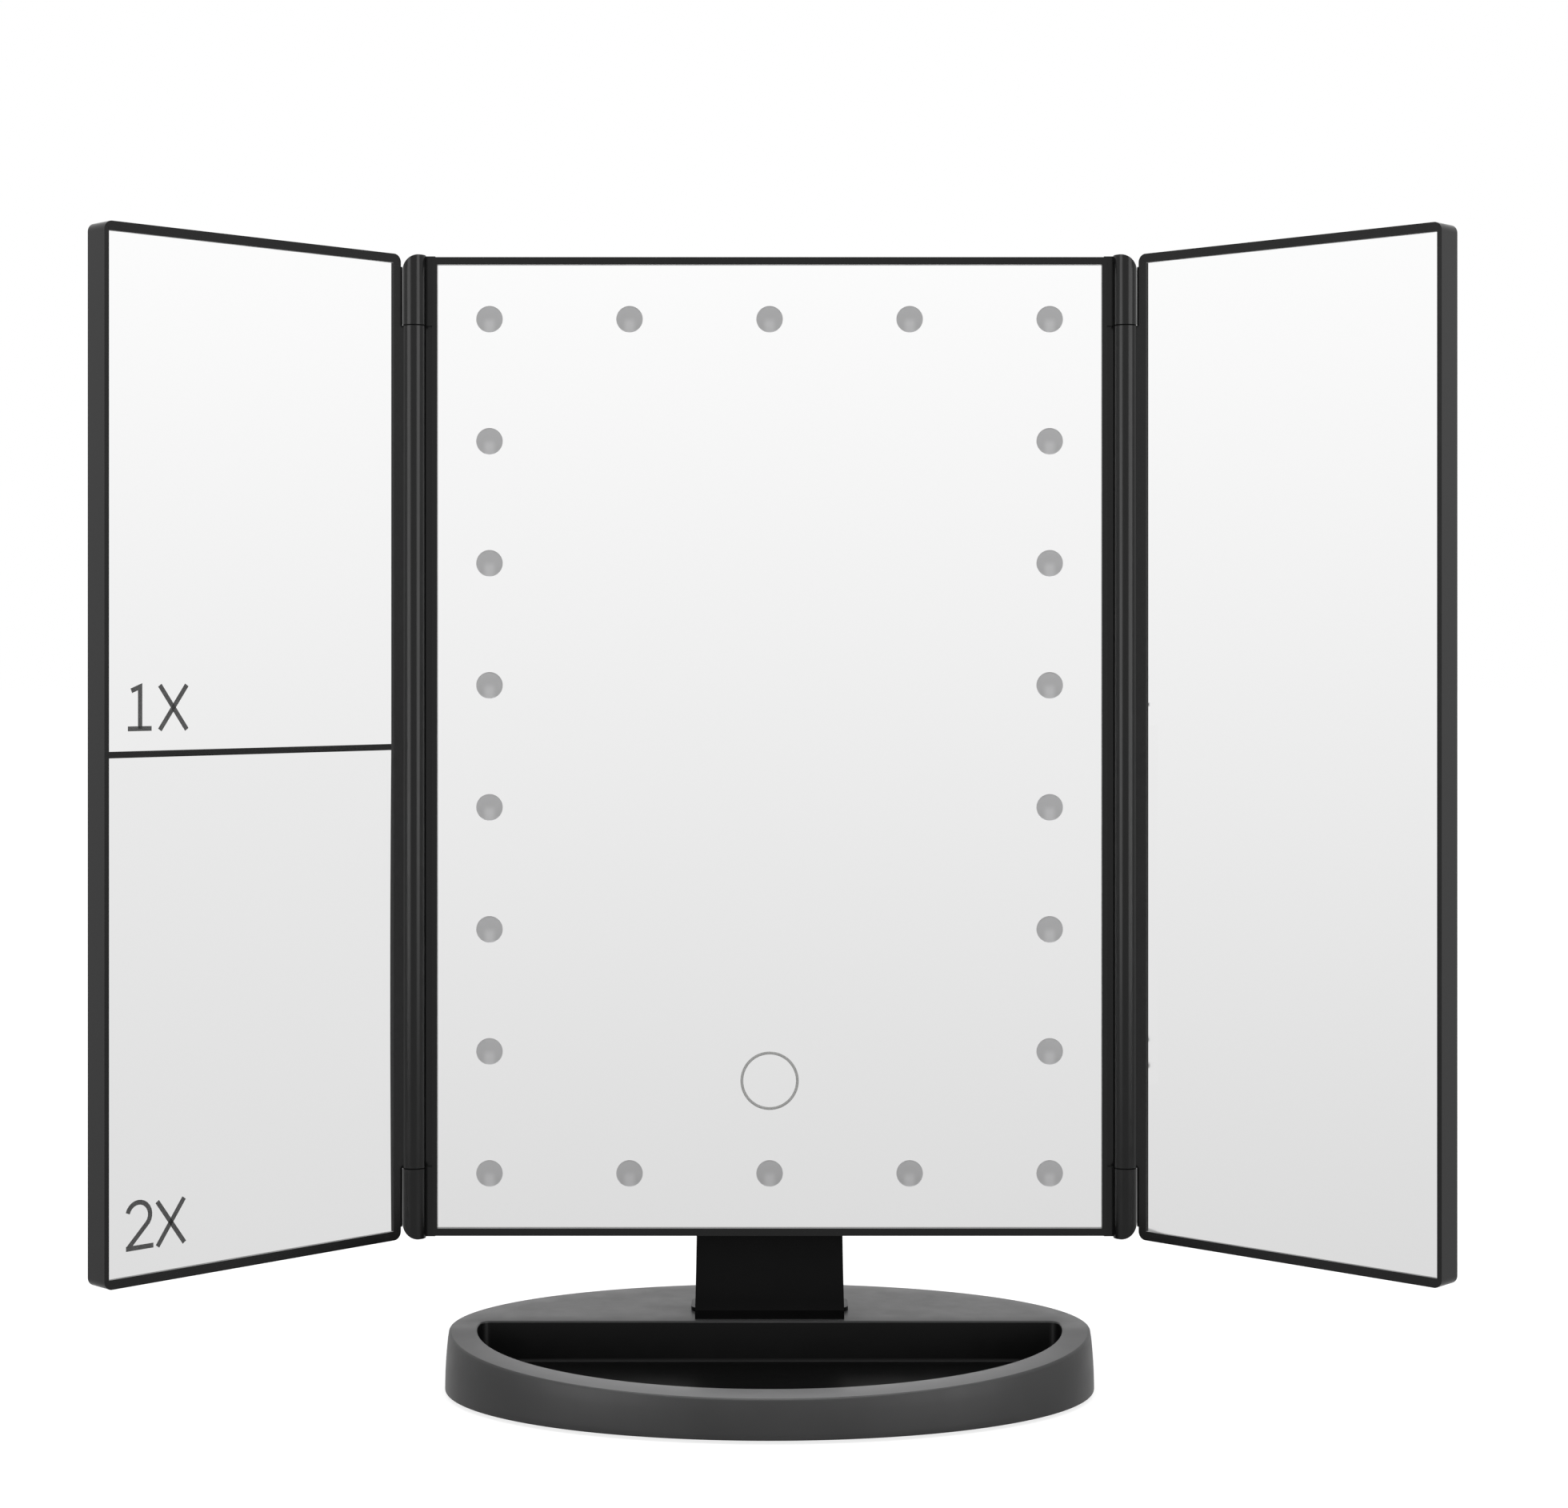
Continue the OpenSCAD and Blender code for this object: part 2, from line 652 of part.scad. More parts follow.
module tilt_washers() color(steel) for (s = [0, 1]) mirror([s, 0, 0]) difference() {
    rod_x([tilt_w / 2, tilt_y, tilt_z], 2 * (tilt_r - washer_in), washer_t);
    rod_x([tilt_w / 2 - eps, tilt_y, tilt_z], tilt_bore_d, washer_t + 2 * eps);
}

module tilt_pin() color(steel) {
    rod_x([-ear_x - ear_t, tilt_y, tilt_z], tilt_pin_d, 2 * (ear_x + ear_t) + tilt_nut_t + tilt_pin_tail);
    rod_x([-ear_x - ear_t - tilt_head_t, tilt_y, tilt_z], tilt_head_d, tilt_head_t);
}

module tilt_nut() color(steel) translate([ear_x + ear_t, tilt_y, tilt_z]) rotate([0, 90, 0])
    difference() {
        cylinder(d = tilt_nut_d, h = tilt_nut_t, $fn = 6);
        translate([0, 0, -eps]) cylinder(d = tilt_pin_d, h = tilt_nut_t + 2 * eps);
    }

// ---- centre panel ----

// The right-hand hinge column, seen from the front, with round outer corners
module column_outline() {
    w = barrel_d + barrel_gap + panel_side_wall;
    x0 = hinge_x + barrel_d / 2 - w;
    r = column_corner_r;
    translate([x0, column_z]) {
        square([w - r, wing_h]);
        translate([0, r]) square([w, wing_h - 2 * r]);
        for (z = [r, wing_h - r]) translate([w - r, z]) circle(r);
    }
}

// Both fixed knuckles of the right-hand column, each bridged back to the frame
module fixed_knuckles() difference() {
    intersection() {
        translate([0, panel_w, 0]) rotate([90, 0, 0]) linear_extrude(2 * panel_w) column_outline();
        for (z = [column_z, column_z + wing_h - knuckle_h]) {
            rod_z([hinge_x, 0, z], barrel_d, knuckle_h);
            translate([panel_w / 2 - panel_side_wall / 2, bridge_y, z])
                cube([hinge_x - panel_w / 2 + panel_side_wall / 2, inside_y - bridge_y, knuckle_h]);
        }
    }
    rod_z([hinge_x, 0, barrel_z - hinge_pin_grip], hinge_pin_d, barrel_h + 2 * hinge_pin_grip);
}

// The strip of frame that closes the gap behind the right-hand wing's barrel
module barrel_shield() difference() {
    translate([panel_w / 2 - panel_side_wall / 2, shield_y, column_z + knuckle_h - eps])
        cube([hinge_x - panel_w / 2, inside_y - shield_y, wing_h - 2 * knuckle_h + 2 * eps]);
    rod_z([hinge_x, 0, column_z + knuckle_h], barrel_d + 2 * shield_clear, wing_h - 2 * knuckle_h);
}

module centre_frame() color(case_black) {
    difference() {
        union() {
            slab_y(0, panel_z, panel_w, panel_h, lip_y, cover_y - lip_y);
            for (s = [0, 1]) mirror([s, 0, 0]) {
                fixed_knuckles();
                barrel_shield();
            }
        }
        slab_y(0, panel_z, glass_w, glass_h, lip_y - eps, floor_y - lip_y + eps);
        difference() {
            slab_y(0, panel_z, glass_w, glass_h, inside_y, hollow_t + eps);
            for (p = cover_screw_places)
                rod_y([p[0], inside_y - eps, panel_z + p[1]], cover_boss_d, hollow_t + eps);
        }
        for (p = cover_screw_places)
            rod_y([p[0], inside_y, panel_z + p[1]], small_screw_d, hollow_t + eps);
        for (p = window_places)
            rod_y([p[0], floor_y - eps, panel_z + p[1]], led_hole_d, floor_t + 2 * eps);
        rod_y([0, floor_y - eps, touch_z], touch_hole_d, floor_t + 2 * eps);
    }
    control_posts();
}

// Four posts that carry the control board
module control_posts() for (x = [-1, 1], z = [-1, 1])
    rod_y([x * (control_w / 2 - control_post_in), inside_y - floor_t / 2,
        control_z + z * (control_h / 2 - control_post_in)],
        control_post_d, control_y - inside_y + floor_t / 2);

module centre_mirror() color(glass_silver) difference() {
    slab_y(0, panel_z, glass_w, glass_h, glass_y, glass_t);
    for (p = window_places) rod_y([p[0], glass_y - eps, panel_z + p[1]], window_d, frost_t + eps);
    touch_ring(glass_y - eps, frost_t + eps);
}

module touch_ring(y0, t) difference() {
    rod_y([0, y0, touch_z], touch_d, t);
    rod_y([0, y0 - eps, touch_z], touch_d - 2 * touch_line, t + 2 * eps);
}

module light_windows() color(frost_grey) for (p = window_places)
    rod_y([p[0], glass_y, panel_z + p[1]], window_d, frost_t);

module touch_mark() color(mark_grey) touch_ring(glass_y, frost_t);

// A frame of foam tape behind a glass that is w wide and h high
module tape_frame(x, z, w, h) {
    out_w = w - 2 * tape_in;
    out_h = h - 2 * tape_in;
    difference() {
        slab_y(x, z, out_w, out_h, tape_y, tape_t);
        slab_y(x, z, out_w - 2 * tape_w, out_h - 2 * tape_w, tape_y - eps, tape_t + 2 * eps);
    }
}

module centre_tape() color(inner_white) tape_frame(0, panel_z, glass_w, glass_h);

module light_boards() color(inner_white) {
    for (s = [-1, 1]) {
        slab_y(s * window_x, panel_z, board_w, 2 * window_z + board_w, inside_y, board_t);
        slab_y(0, panel_z + s * window_z, 2 * window_x - board_w, board_w, inside_y, board_t);
    }
}

module light_diodes() color(diode_yellow) for (p = window_places)
    slab_y(p[0], panel_z + p[1], led_l, led_w, inside_y - led_t, led_t);

module touch_sensor() color(copper) {
    rod_y([0, tape_y, touch_z], touch_d - 2 * touch_pad_in, touch_pad_t);
    difference() {
        rod_y([0, tape_y, touch_z], touch_spring_d, control_y - tape_y);
        rod_y([0, tape_y + touch_pad_t, touch_z], touch_spring_d - 2 * touch_spring_wall,
            control_y - tape_y);
    }
}

// ---- back cover and what it houses ----

// An ear beside the neck's knuckle, on the right
module ear() difference() {
    union() {
        rod_x([ear_x, tilt_y, tilt_z], 2 * tilt_r, ear_t);
        translate([ear_x, cover_y + cover_t / 2, tilt_z - tilt_r])
            cube([ear_t, tilt_y - cover_y - cover_t / 2, 2 * tilt_r]);
    }
    rod_x([ear_x - eps, tilt_y, tilt_z], tilt_pin_d, ear_t + 2 * eps);
}

// The outsides of the two housings on the back cover
module housings() {
    y0 = cover_y + cover_t / 2;
    round_slab_y(0, control_z, lower_in_w + 2 * housing_wall, lower_in_h + 2 * housing_wall,
        housing_corner_r, y0, lower_back_y - y0);
    round_slab_y(0, bay_z, door_w + 2 * housing_wall, door_h + 2 * housing_wall,
        housing_corner_r, y0, door_back_y - y0);
}

// Their insides: the lower one is closed behind, the upper one is open for the battery door
module housing_insides() {
    y0 = cover_y - eps;
    round_slab_y(0, control_z, lower_in_w, lower_in_h,
        housing_corner_r, y0, lower_back_y - housing_wall - y0);
    slab_y(0, bay_z, door_w, door_h, y0, door_back_y - y0);
    slab_y(0, bay_z, door_w + 2 * door_gap, door_h + 2 * door_gap, tray_top_y - door_t, 3 * door_t);
}

module back_cover() color(case_black) {
    difference() {
        union() {
            slab_y(0, panel_z, panel_w, panel_h, cover_y, cover_t);
            housings();
        }
        housing_insides();
        for (p = cover_screw_places) {
            rod_y([p[0], cover_y - eps, panel_z + p[1]],
                small_screw_d + 2 * screw_clear, cover_t + 2 * eps);
            rod_y([p[0], back_y - small_head_t, panel_z + p[1]],
                small_head_d + 2 * screw_clear, small_head_t + eps);
        }
        slab_y(-port_side, port_z, slot_w, slot_h, lower_back_y - 2 * housing_wall, 3 * housing_wall);
        slab_y(port_side, port_z, socket_w, socket_h, lower_back_y - 2 * housing_wall, 3 * housing_wall);
    }
    for (s = [0, 1]) mirror([s, 0, 0]) ear();
}

module cover_screws() color(steel) for (p = cover_screw_places)
    screw_in([p[0], back_y, panel_z + p[1]], small_screw_d, small_head_d, small_head_t, cover_screw_l);

module control_board() color(board_green)
    slab_y(0, control_z, control_w, control_h, control_y, control_t);

// A chip of a size on the control board's rear, centred on x and z
module chip(x, z, size) slab_y(x, z, size[0], size[1], control_back_y, size[2]);

module control_chips() color(chip_black) {
    chip(0, port_z, driver_size);
    chip(-sensor_side, control_z + chip_up, sensor_size);
    chip(coil_side, control_z + chip_up, coil_size);
    for (s = [-1, 1])
        rod_y([s * capacitor_side, control_back_y, control_z + chip_up], capacitor_d, capacitor_l);
}

// Leads from the control board out to the light boards, and up to the battery tray
module wires() color(wire_red) {
    lead_d = board_t;
    for (s = [-1, 1], k = [0, 1])
        rod_x([s > 0 ? control_w / 2 : -window_x + board_w / 2, control_y + lead_d / 2,
            control_z + lead_up + k * lead_pitch], lead_d, window_x - board_w / 2 - control_w / 2);
    for (s = [-1, 1]) rod_z([s * lead_side, control_y + lead_d / 2, control_z0 + control_h],
        lead_d, bay_z - bay_h / 2 - tray_wall - control_z0 - control_h);
}

module power_socket() color(steel) difference() {
    slab_y(port_side, port_z, socket_w, socket_h, control_back_y, lower_back_y - control_back_y);
    slab_y(port_side, port_z, socket_w - 2 * socket_wall, socket_h - 2 * socket_wall,
        control_back_y + socket_floor, lower_back_y - control_back_y);
}

module switch_body() color(steel) difference() {
    slab_y(-port_side, port_z, slot_w + 2 * switch_wall, slot_h + 2 * switch_wall,
        control_back_y, control_room - knob_gap);
    slab_y(-port_side, port_z, slot_w, slot_h, control_back_y + control_room / 2, control_room);
}

module switch_knob() color(inner_white)
    slab_y(-port_side - switch_travel / 2, port_z, knob_w, knob_h,
        control_back_y + control_room / 2 + knob_gap,
        lower_back_y + knob_proud - control_back_y - control_room / 2 - knob_gap);

module battery_tray() color(case_black) difference() {
    slab_y(0, bay_z, door_w, door_h, tray_y, tray_top_y - tray_y);
    slab_y(0, bay_z, bay_w, bay_h, tray_y + tray_wall, tray_top_y);
}

function cell_x(i) = (i - (cell_count - 1) / 2) * cell_pitch;
function cell_up(i) = i % 2 == 0 ? 1 : -1;

// A cell lies along Z, with its button at the end that cell_up names
module batteries() color(cell_green) for (i = [0 : cell_count - 1])
    translate([cell_x(i), cell_y, bay_z]) mirror([0, 0, cell_up(i) > 0 ? 0 : 1]) {
        rod_z([0, 0, -cell_l / 2], cell_d, cell_l - button_h);
        rod_z([0, 0, -cell_l / 2], button_d, cell_l);
    }

// Contact plates at both ends of each cell, with a spring at the flat end
module battery_contacts() color(steel) for (i = [0 : cell_count - 1])
    translate([cell_x(i), cell_y, bay_z]) mirror([0, 0, cell_up(i) > 0 ? 0 : 1]) {
        for (z = [-bay_h / 2, bay_h / 2 - contact_t])
            translate([-contact_w / 2, -contact_w / 2, z]) cube([contact_w, contact_w, contact_t]);
        rod_z([0, 0, -bay_h / 2], spring_d, contact_room);
        rod_z([0, 0, cell_l / 2], button_d, contact_room);
    }

module battery_door() color(case_black) {
    slab_y(0, bay_z, door_w, door_h, door_y, door_t);
    for (k = [0 : grip_count - 1])
        slab_y(0, bay_z + door_h / 2 - grip_down - grip_pitch * k, grip_w, grip_h,
            door_back_y - door_t / 2, door_t / 2 + grip_proud);
}

// ---- wings, drawn for the right-hand side and mirrored for the left ----

// Puts a wing's own frame in its place on the panel
module in_wing(left) mirror([left ? 1 : 0, 0, 0])
    translate([hinge_x, 0, 0]) rotate([0, 0, left ? -left_wing_angle : -right_wing_angle]) children();

module wing_frame() difference() {
    union() {
        round_slab_y(wing_mid_x, panel_z, wing_w, wing_h, wing_corner_r, lip_y, wing_back_y - lip_y);
        rod_z([0, 0, barrel_z], barrel_d, barrel_h);
        translate([0, lip_y, barrel_z]) cube([wing_root + wing_root_wall / 2, web_t, barrel_h]);
    }
    slab_y(wing_glass_x, panel_z, wing_glass_w, wing_glass_h, lip_y - eps, wing_floor_y - lip_y + eps);
    difference() {
        slab_y(wing_glass_x, panel_z, wing_glass_w, wing_glass_h, wing_inside_y,
            wing_back_y - wing_inside_y + eps);
        for (x = [-1, 1], z = [-1, 0, 1])
            rod_y([wing_glass_x + x * (wing_glass_w / 2 - post_side), wing_inside_y - eps,
                panel_z + z * (wing_glass_h / 2 - post_end)], post_d,
                wing_back_y - wing_cover_t - wing_inside_y + eps);
    }
    for (z = [barrel_z - eps, barrel_z + barrel_h - hinge_pin_grip])
        rod_z([0, 0, z], hinge_pin_d + 2 * pin_clear, hinge_pin_grip + eps);
}

module wing_back()
    slab_y(wing_glass_x, panel_z, wing_glass_w, wing_glass_h, wing_back_y - wing_cover_t, wing_cover_t);

// The hinge pins of the right-hand column, from the fixed knuckles into the wing's barrel
module hinge_pins() for (z = [barrel_z - hinge_pin_grip, barrel_z + barrel_h - hinge_pin_grip])
    rod_z([hinge_x, 0, z], hinge_pin_d, 2 * hinge_pin_grip - pin_end_gap);

// The magnifying mirror's dish: a shallow bowl cut into the front, deepest at its centre
module dish_cutter()
    rotate([90, 0, 0]) rotate_extrude($fn = 96) polygon(concat(
        [for (i = [0 : dish_steps]) let (k = i / dish_steps)
            [dish_reach * k, dish_t * (pow(k, 2) - 1)]],
        [[dish_reach, eps], [0, eps]]));

module left_frame() color(case_black) in_wing(true) wing_frame();
module left_back() color(case_black) in_wing(true) wing_back();

module left_mirror_upper() color(glass_silver) in_wing(true)
    slab_y(wing_glass_x, panel_z + (divider_h + half_glass_h) / 2, wing_glass_w, half_glass_h,
        glass_y, glass_t);

module left_mirror_lower() color(glass_silver) in_wing(true)
    translate([wing_glass_x, glass_y, panel_z - (divider_h + half_glass_h) / 2]) difference() {
        slab_y(0, 0, wing_glass_w, half_glass_h, 0, glass_t);
        dish_cutter();
    }

module left_divider() color(case_black) in_wing(true)
    slab_y(wing_glass_x, panel_z, wing_glass_w, divider_h, glass_y - divider_proud,
        floor_y - glass_y + divider_proud);

module left_tape() color(inner_white) in_wing(true) for (s = [-1, 1])
    tape_frame(wing_glass_x, panel_z + s * (divider_h + half_glass_h) / 2, wing_glass_w, half_glass_h);

module right_frame() color(case_black) in_wing(false) wing_frame();
module right_back() color(case_black) in_wing(false) wing_back();
module right_mirror() color(glass_silver) in_wing(false)
    slab_y(wing_glass_x, panel_z, wing_glass_w, wing_glass_h, glass_y, glass_t);
module right_tape() color(inner_white) in_wing(false)
    tape_frame(wing_glass_x, panel_z, wing_glass_w, wing_glass_h);

module left_hinge_pins() color(steel) mirror([1, 0, 0]) hinge_pins();
module right_hinge_pins() color(steel) hinge_pins();

base_shell();
base_cover();
foot_ring();
counterweight();
base_screws();
weight_screws();
neck_shell();
neck_cover();
neck_screws();
neck_cover_screws();
tilt_washers();
tilt_pin();
tilt_nut();
centre_frame();
back_cover();
cover_screws();
centre_mirror();
light_windows();
touch_mark();
centre_tape();
light_boards();
light_diodes();
touch_sensor();
control_board();
control_chips();
wires();
power_socket();
switch_body();
switch_knob();
battery_tray();
battery_contacts();
batteries();
battery_door();
left_hinge_pins();
right_hinge_pins();
left_frame();
left_back();
left_mirror_upper();
left_mirror_lower();
left_divider();
left_tape();
right_frame();
right_back();
right_mirror();
right_tape();
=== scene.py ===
"""Looks of the trifold vanity mirror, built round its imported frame.

Metres, +Z up, the mirrors face -Y. Sizes that the frame doesn't give are named in millimetres.
"""

import json
import math

import bmesh
import bpy
from mathutils import Matrix, Vector
from mathutils.geometry import delaunay_2d_cdt

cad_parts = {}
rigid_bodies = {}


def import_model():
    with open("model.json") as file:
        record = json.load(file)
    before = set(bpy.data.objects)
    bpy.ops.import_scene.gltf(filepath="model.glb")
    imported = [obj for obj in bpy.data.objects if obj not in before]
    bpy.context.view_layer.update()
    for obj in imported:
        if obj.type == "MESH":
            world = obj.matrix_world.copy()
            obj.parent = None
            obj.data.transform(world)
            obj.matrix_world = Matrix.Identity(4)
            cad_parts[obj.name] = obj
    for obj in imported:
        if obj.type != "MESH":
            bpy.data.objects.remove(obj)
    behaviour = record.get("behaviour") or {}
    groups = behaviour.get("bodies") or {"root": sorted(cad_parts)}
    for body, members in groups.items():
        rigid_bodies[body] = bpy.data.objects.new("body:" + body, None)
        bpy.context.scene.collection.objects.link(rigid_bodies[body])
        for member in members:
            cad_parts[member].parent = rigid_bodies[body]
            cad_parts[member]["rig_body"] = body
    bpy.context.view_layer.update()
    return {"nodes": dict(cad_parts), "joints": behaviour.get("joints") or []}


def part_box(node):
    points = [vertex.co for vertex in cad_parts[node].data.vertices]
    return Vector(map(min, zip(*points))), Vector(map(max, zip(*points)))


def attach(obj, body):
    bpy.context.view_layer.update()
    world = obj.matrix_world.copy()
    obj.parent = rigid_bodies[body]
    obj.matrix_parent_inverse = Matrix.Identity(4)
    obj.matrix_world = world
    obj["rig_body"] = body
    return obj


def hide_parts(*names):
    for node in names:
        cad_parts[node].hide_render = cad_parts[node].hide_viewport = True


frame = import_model()

MM = 0.001
WELD = 0.001 * MM           # points nearer than this are one
IMAGE_W = 1960              # pixels of the photograph
IMAGE_H = 1885

NODES = frame["nodes"]
JOINTS = {row["name"]: row for row in frame["joints"]}


# ---- places ----

def box_of(points):
    """(lowest, highest) corner of some points."""
    low = Vector([min(p[i] for p in points) for i in range(3)])
    high = Vector([max(p[i] for p in points) for i in range(3)])
    return low, high


def loose_solids(node):
    """The points of each loose solid of a CAD node, in the order of their places."""
    bm = bmesh.new()
    bm.from_mesh(NODES[node].data)
    bmesh.ops.remove_doubles(bm, verts=bm.verts, dist=WELD)
    seen = set()
    solids = []
    for first in bm.verts:
        if first in seen:
            continue
        seen.add(first)
        found = [first]
        for vert in found:
            for edge in vert.link_edges:
                other = edge.other_vert(vert)
                if other not in seen:
                    seen.add(other)
                    found.append(other)
        solids.append([vert.co.copy() for vert in found])
    bm.free()
    return sorted(solids, key=lambda points: tuple(box_of(points)[0]))


def wing_place(side):
    """From a wing's own frame, its hinge axis at 0 and the wing along +X, to its place at rest."""
    joint = JOINTS[side + "_wing_fold"]
    folded = math.radians(joint["range_deg"][0])
    place = Matrix.Translation((abs(joint["pos_m"][0]), 0, 0)) @ Matrix.Rotation(folded, 4, "Z")
    return Matrix.Scale(-1, 4, (1, 0, 0)) @ place if side == "left" else place


def wing_box(node, side):
    """The box of a CAD node in its wing's own frame."""
    back = wing_place(side).inverted()
    return box_of([back @ vert.co for vert in NODES[node].data.vertices])


# ---- meshes ----

def finished(name, bm, body, materials, sharp=30, replaces=()):
    """An object from a bmesh, smooth except at its sharp edges, riding on a body."""
    bmesh.ops.recalc_face_normals(bm, faces=bm.faces)
    mesh = bpy.data.meshes.new(name)
    bm.to_mesh(mesh)
    bm.free()
    mesh.shade_smooth()
    mesh.set_sharp_from_angle(angle=math.radians(sharp))
    for material in materials:
        mesh.materials.append(material)
    obj = bpy.data.objects.new(name, mesh)
    bpy.context.scene.collection.objects.link(obj)
    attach(obj, body)
    if replaces:
        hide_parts(*replaces)
    return obj


def apply_modifiers(obj):
    """Replaces the object's mesh by what its modifiers make of it."""
    depsgraph = bpy.context.evaluated_depsgraph_get()
    mesh = bpy.data.meshes.new_from_object(obj.evaluated_get(depsgraph))
    obj.modifiers.clear()
    obj.data = mesh


def round_edges(obj, width, segments=3):
    """Rounds every edge sharper than 30 degrees, and keeps the flat faces flat."""
    bevel = obj.modifiers.new("bevel", "BEVEL")
    bevel.width = width
    bevel.segments = segments
    bevel.limit_method = "ANGLE"
    bevel.angle_limit = math.radians(30)
    bevel.use_clamp_overlap = True
    bevel.miter_outer = "MITER_ARC"
    normals = obj.modifiers.new("normals", "WEIGHTED_NORMAL")
    normals.keep_sharp = True
    apply_modifiers(obj)


def rounded_copy(node, width, material, in_triangles=False):
    """A copy of a CAD node with its edges rounded, if wished with its larger faces in triangles."""
    bm = bmesh.new()
    bm.from_mesh(NODES[node].data)
    bmesh.ops.remove_doubles(bm, verts=bm.verts, dist=WELD)
    flat = math.radians(0.5)
    bmesh.ops.dissolve_limit(bm, angle_limit=flat, verts=bm.verts, edges=bm.edges)
    if in_triangles:
        bmesh.ops.triangulate(bm, faces=[face for face in bm.faces if len(face.verts) > 4])
    obj = finished(node + "_shell", bm, NODES[node]["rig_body"], [material], sharp=60,
                   replaces=[node])
    round_edges(obj, width)
    return obj


def bridge(bm, low, high):
    """Faces between two rings of as many points, or between a ring and a single point."""
    faces = []
    for i in range(max(len(low), len(high))):
        corners = (low[i % len(low)], low[(i + 1) % len(low)],
                   high[(i + 1) % len(high)], high[i % len(high)])
        faces.append(bm.faces.new(dict.fromkeys(corners)))
    return faces


def ring(bm, points):
    """New vertices at some points."""
    return [bm.verts.new(p) for p in points]


def loft(bm, rings):
    """Rings of points joined one after the other; returns the first and the last ring."""
    made = [ring(bm, points) for points in rings]
    for low, high in zip(made, made[1:]):
        bridge(bm, low, high)
    return made[0], made[-1]


def turned(bm, profile, steps=32, second=()):
    """A solid turned round Z from (radius, height) points; the bands in second get material 1."""
    rings = []
    for radius, height in profile:
        count = steps if radius else 1
        rings.append(ring(bm, [(radius * math.cos(math.tau * i / count),
                                radius * math.sin(math.tau * i / count), height)
                               for i in range(count)]))
    for band, (low, high) in enumerate(zip(rings, rings[1:])):
        for face in bridge(bm, low, high):
            face.material_index = 1 if band in second else 0
    return rings


def tube(bm, path, radius, sides=10):
    """A round wire along a path that never runs straight up, closed at both ends."""
    rings = []
    for i, place in enumerate(path):
        along = (path[min(i + 1, len(path) - 1)] - path[max(i - 1, 0)]).normalized()
        side = along.cross(Vector((0, 0, 1))).normalized()
        up = side.cross(along)
        rings.append([place + radius * (side * math.cos(math.tau * k / sides)
                                        + up * math.sin(math.tau * k / sides)) for k in range(sides)])
    first, last = loft(bm, rings)
    bm.faces.new(first)
    bm.faces.new(last)


def turned_ring(bm, section, steps):
    """A closed section of (radius, height) points turned round Z."""
    rings = [ring(bm, [(radius * math.cos(math.tau * i / steps),
                        radius * math.sin(math.tau * i / steps), height)
                       for i in range(steps)]) for radius, height in section]
    for first, second in zip(rings, rings[1:] + rings[:1]):
        bridge(bm, first, second)


def add_solid(bm, build, place):
    """Adds what build makes about the origin, moved to its place."""
    part = bmesh.new()
    build(part)
    bmesh.ops.transform(part, matrix=place, verts=part.verts)
    mesh = bpy.data.meshes.new("part")
    part.to_mesh(mesh)
    part.free()
    bm.from_mesh(mesh)
    bpy.data.meshes.remove(mesh)


# ---- materials ----

def base_material(name, colour, roughness, metallic=0.0, specular=0.5):
    """A Principled material with its plain numbers on the shader; returns the tree and shader."""
    material = bpy.data.materials.new(name)
    material.use_nodes = True
    tree = material.node_tree
    shader = tree.nodes["Principled BSDF"]
    shader.inputs["Base Color"].default_value = (*colour, 1)
    shader.inputs["Roughness"].default_value = roughness
    shader.inputs["Metallic"].default_value = metallic
    shader.inputs["Specular IOR Level"].default_value = specular
    return material, tree, shader


def noise(tree, scale, detail=2.0, stretch=(1, 1, 1)):
    """A noise over the object's own coordinates, with about scale cells to the metre."""
    place = tree.nodes.new("ShaderNodeTexCoord")
    mapping = tree.nodes.new("ShaderNodeMapping")
    mapping.inputs["Scale"].default_value = stretch
    texture = tree.nodes.new("ShaderNodeTexNoise")
    texture.inputs["Scale"].default_value = scale
    texture.inputs["Detail"].default_value = detail
    tree.links.new(place.outputs["Object"], mapping.inputs["Vector"])
    tree.links.new(mapping.outputs["Vector"], texture.inputs["Vector"])
    return texture.outputs["Fac"]


def spread(tree, value, low, high):
    """A noise value, spread from low to high."""
    node = tree.nodes.new("ShaderNodeMapRange")
    node.inputs["From Min"].default_value = 0.3
    node.inputs["From Max"].default_value = 0.7
    node.inputs["To Min"].default_value = low
    node.inputs["To Max"].default_value = high
    tree.links.new(value, node.inputs["Value"])
    return node.outputs["Result"]


def spread_exact(tree, value, low, high):
    """A value from 0 to 1, spread from low to high."""
    node = tree.nodes.new("ShaderNodeMapRange")
    node.inputs["To Min"].default_value = low
    node.inputs["To Max"].default_value = high
    tree.links.new(value, node.inputs["Value"])
    return node.outputs["Result"]


def math_node(tree, operation, *values):
    """A value worked out from others."""
    node = tree.nodes.new("ShaderNodeMath")
    node.operation = operation
    for socket, value in zip(node.inputs, values):
        tree.links.new(value, socket)
    return node.outputs["Value"]


def ramp_value(tree, value, start, end):
    """0 where a value is at start or before it, 1 where it is at end or past it, soft between."""
    node = tree.nodes.new("ShaderNodeMapRange")
    node.interpolation_type = "SMOOTHSTEP"
    node.inputs["From Min"].default_value = start
    node.inputs["From Max"].default_value = end
    tree.links.new(value, node.inputs["Value"])
    return node.outputs["Result"]


def blend_colours(tree, factor, first, second):
    """A colour from first to second by a factor from 0 to 1."""
    node = tree.nodes.new("ShaderNodeMix")
    node.data_type = "RGBA"
    node.inputs["A"].default_value = (*first, 1)
    node.inputs["B"].default_value = (*second, 1)
    tree.links.new(factor, node.inputs["Factor"])
    return node.outputs["Result"]


def bump(tree, shader, height, distance):
    """A relief of some depth on a shader, from a height."""
    node = tree.nodes.new("ShaderNodeBump")
    node.inputs["Strength"].default_value = 1.0
    node.inputs["Distance"].default_value = distance
    tree.links.new(height, node.inputs["Height"])
    tree.links.new(node.outputs["Normal"], shader.inputs["Normal"])


def grey(level):
    """A grey, the least bit cool."""
    return (level, level, level * 1.01)


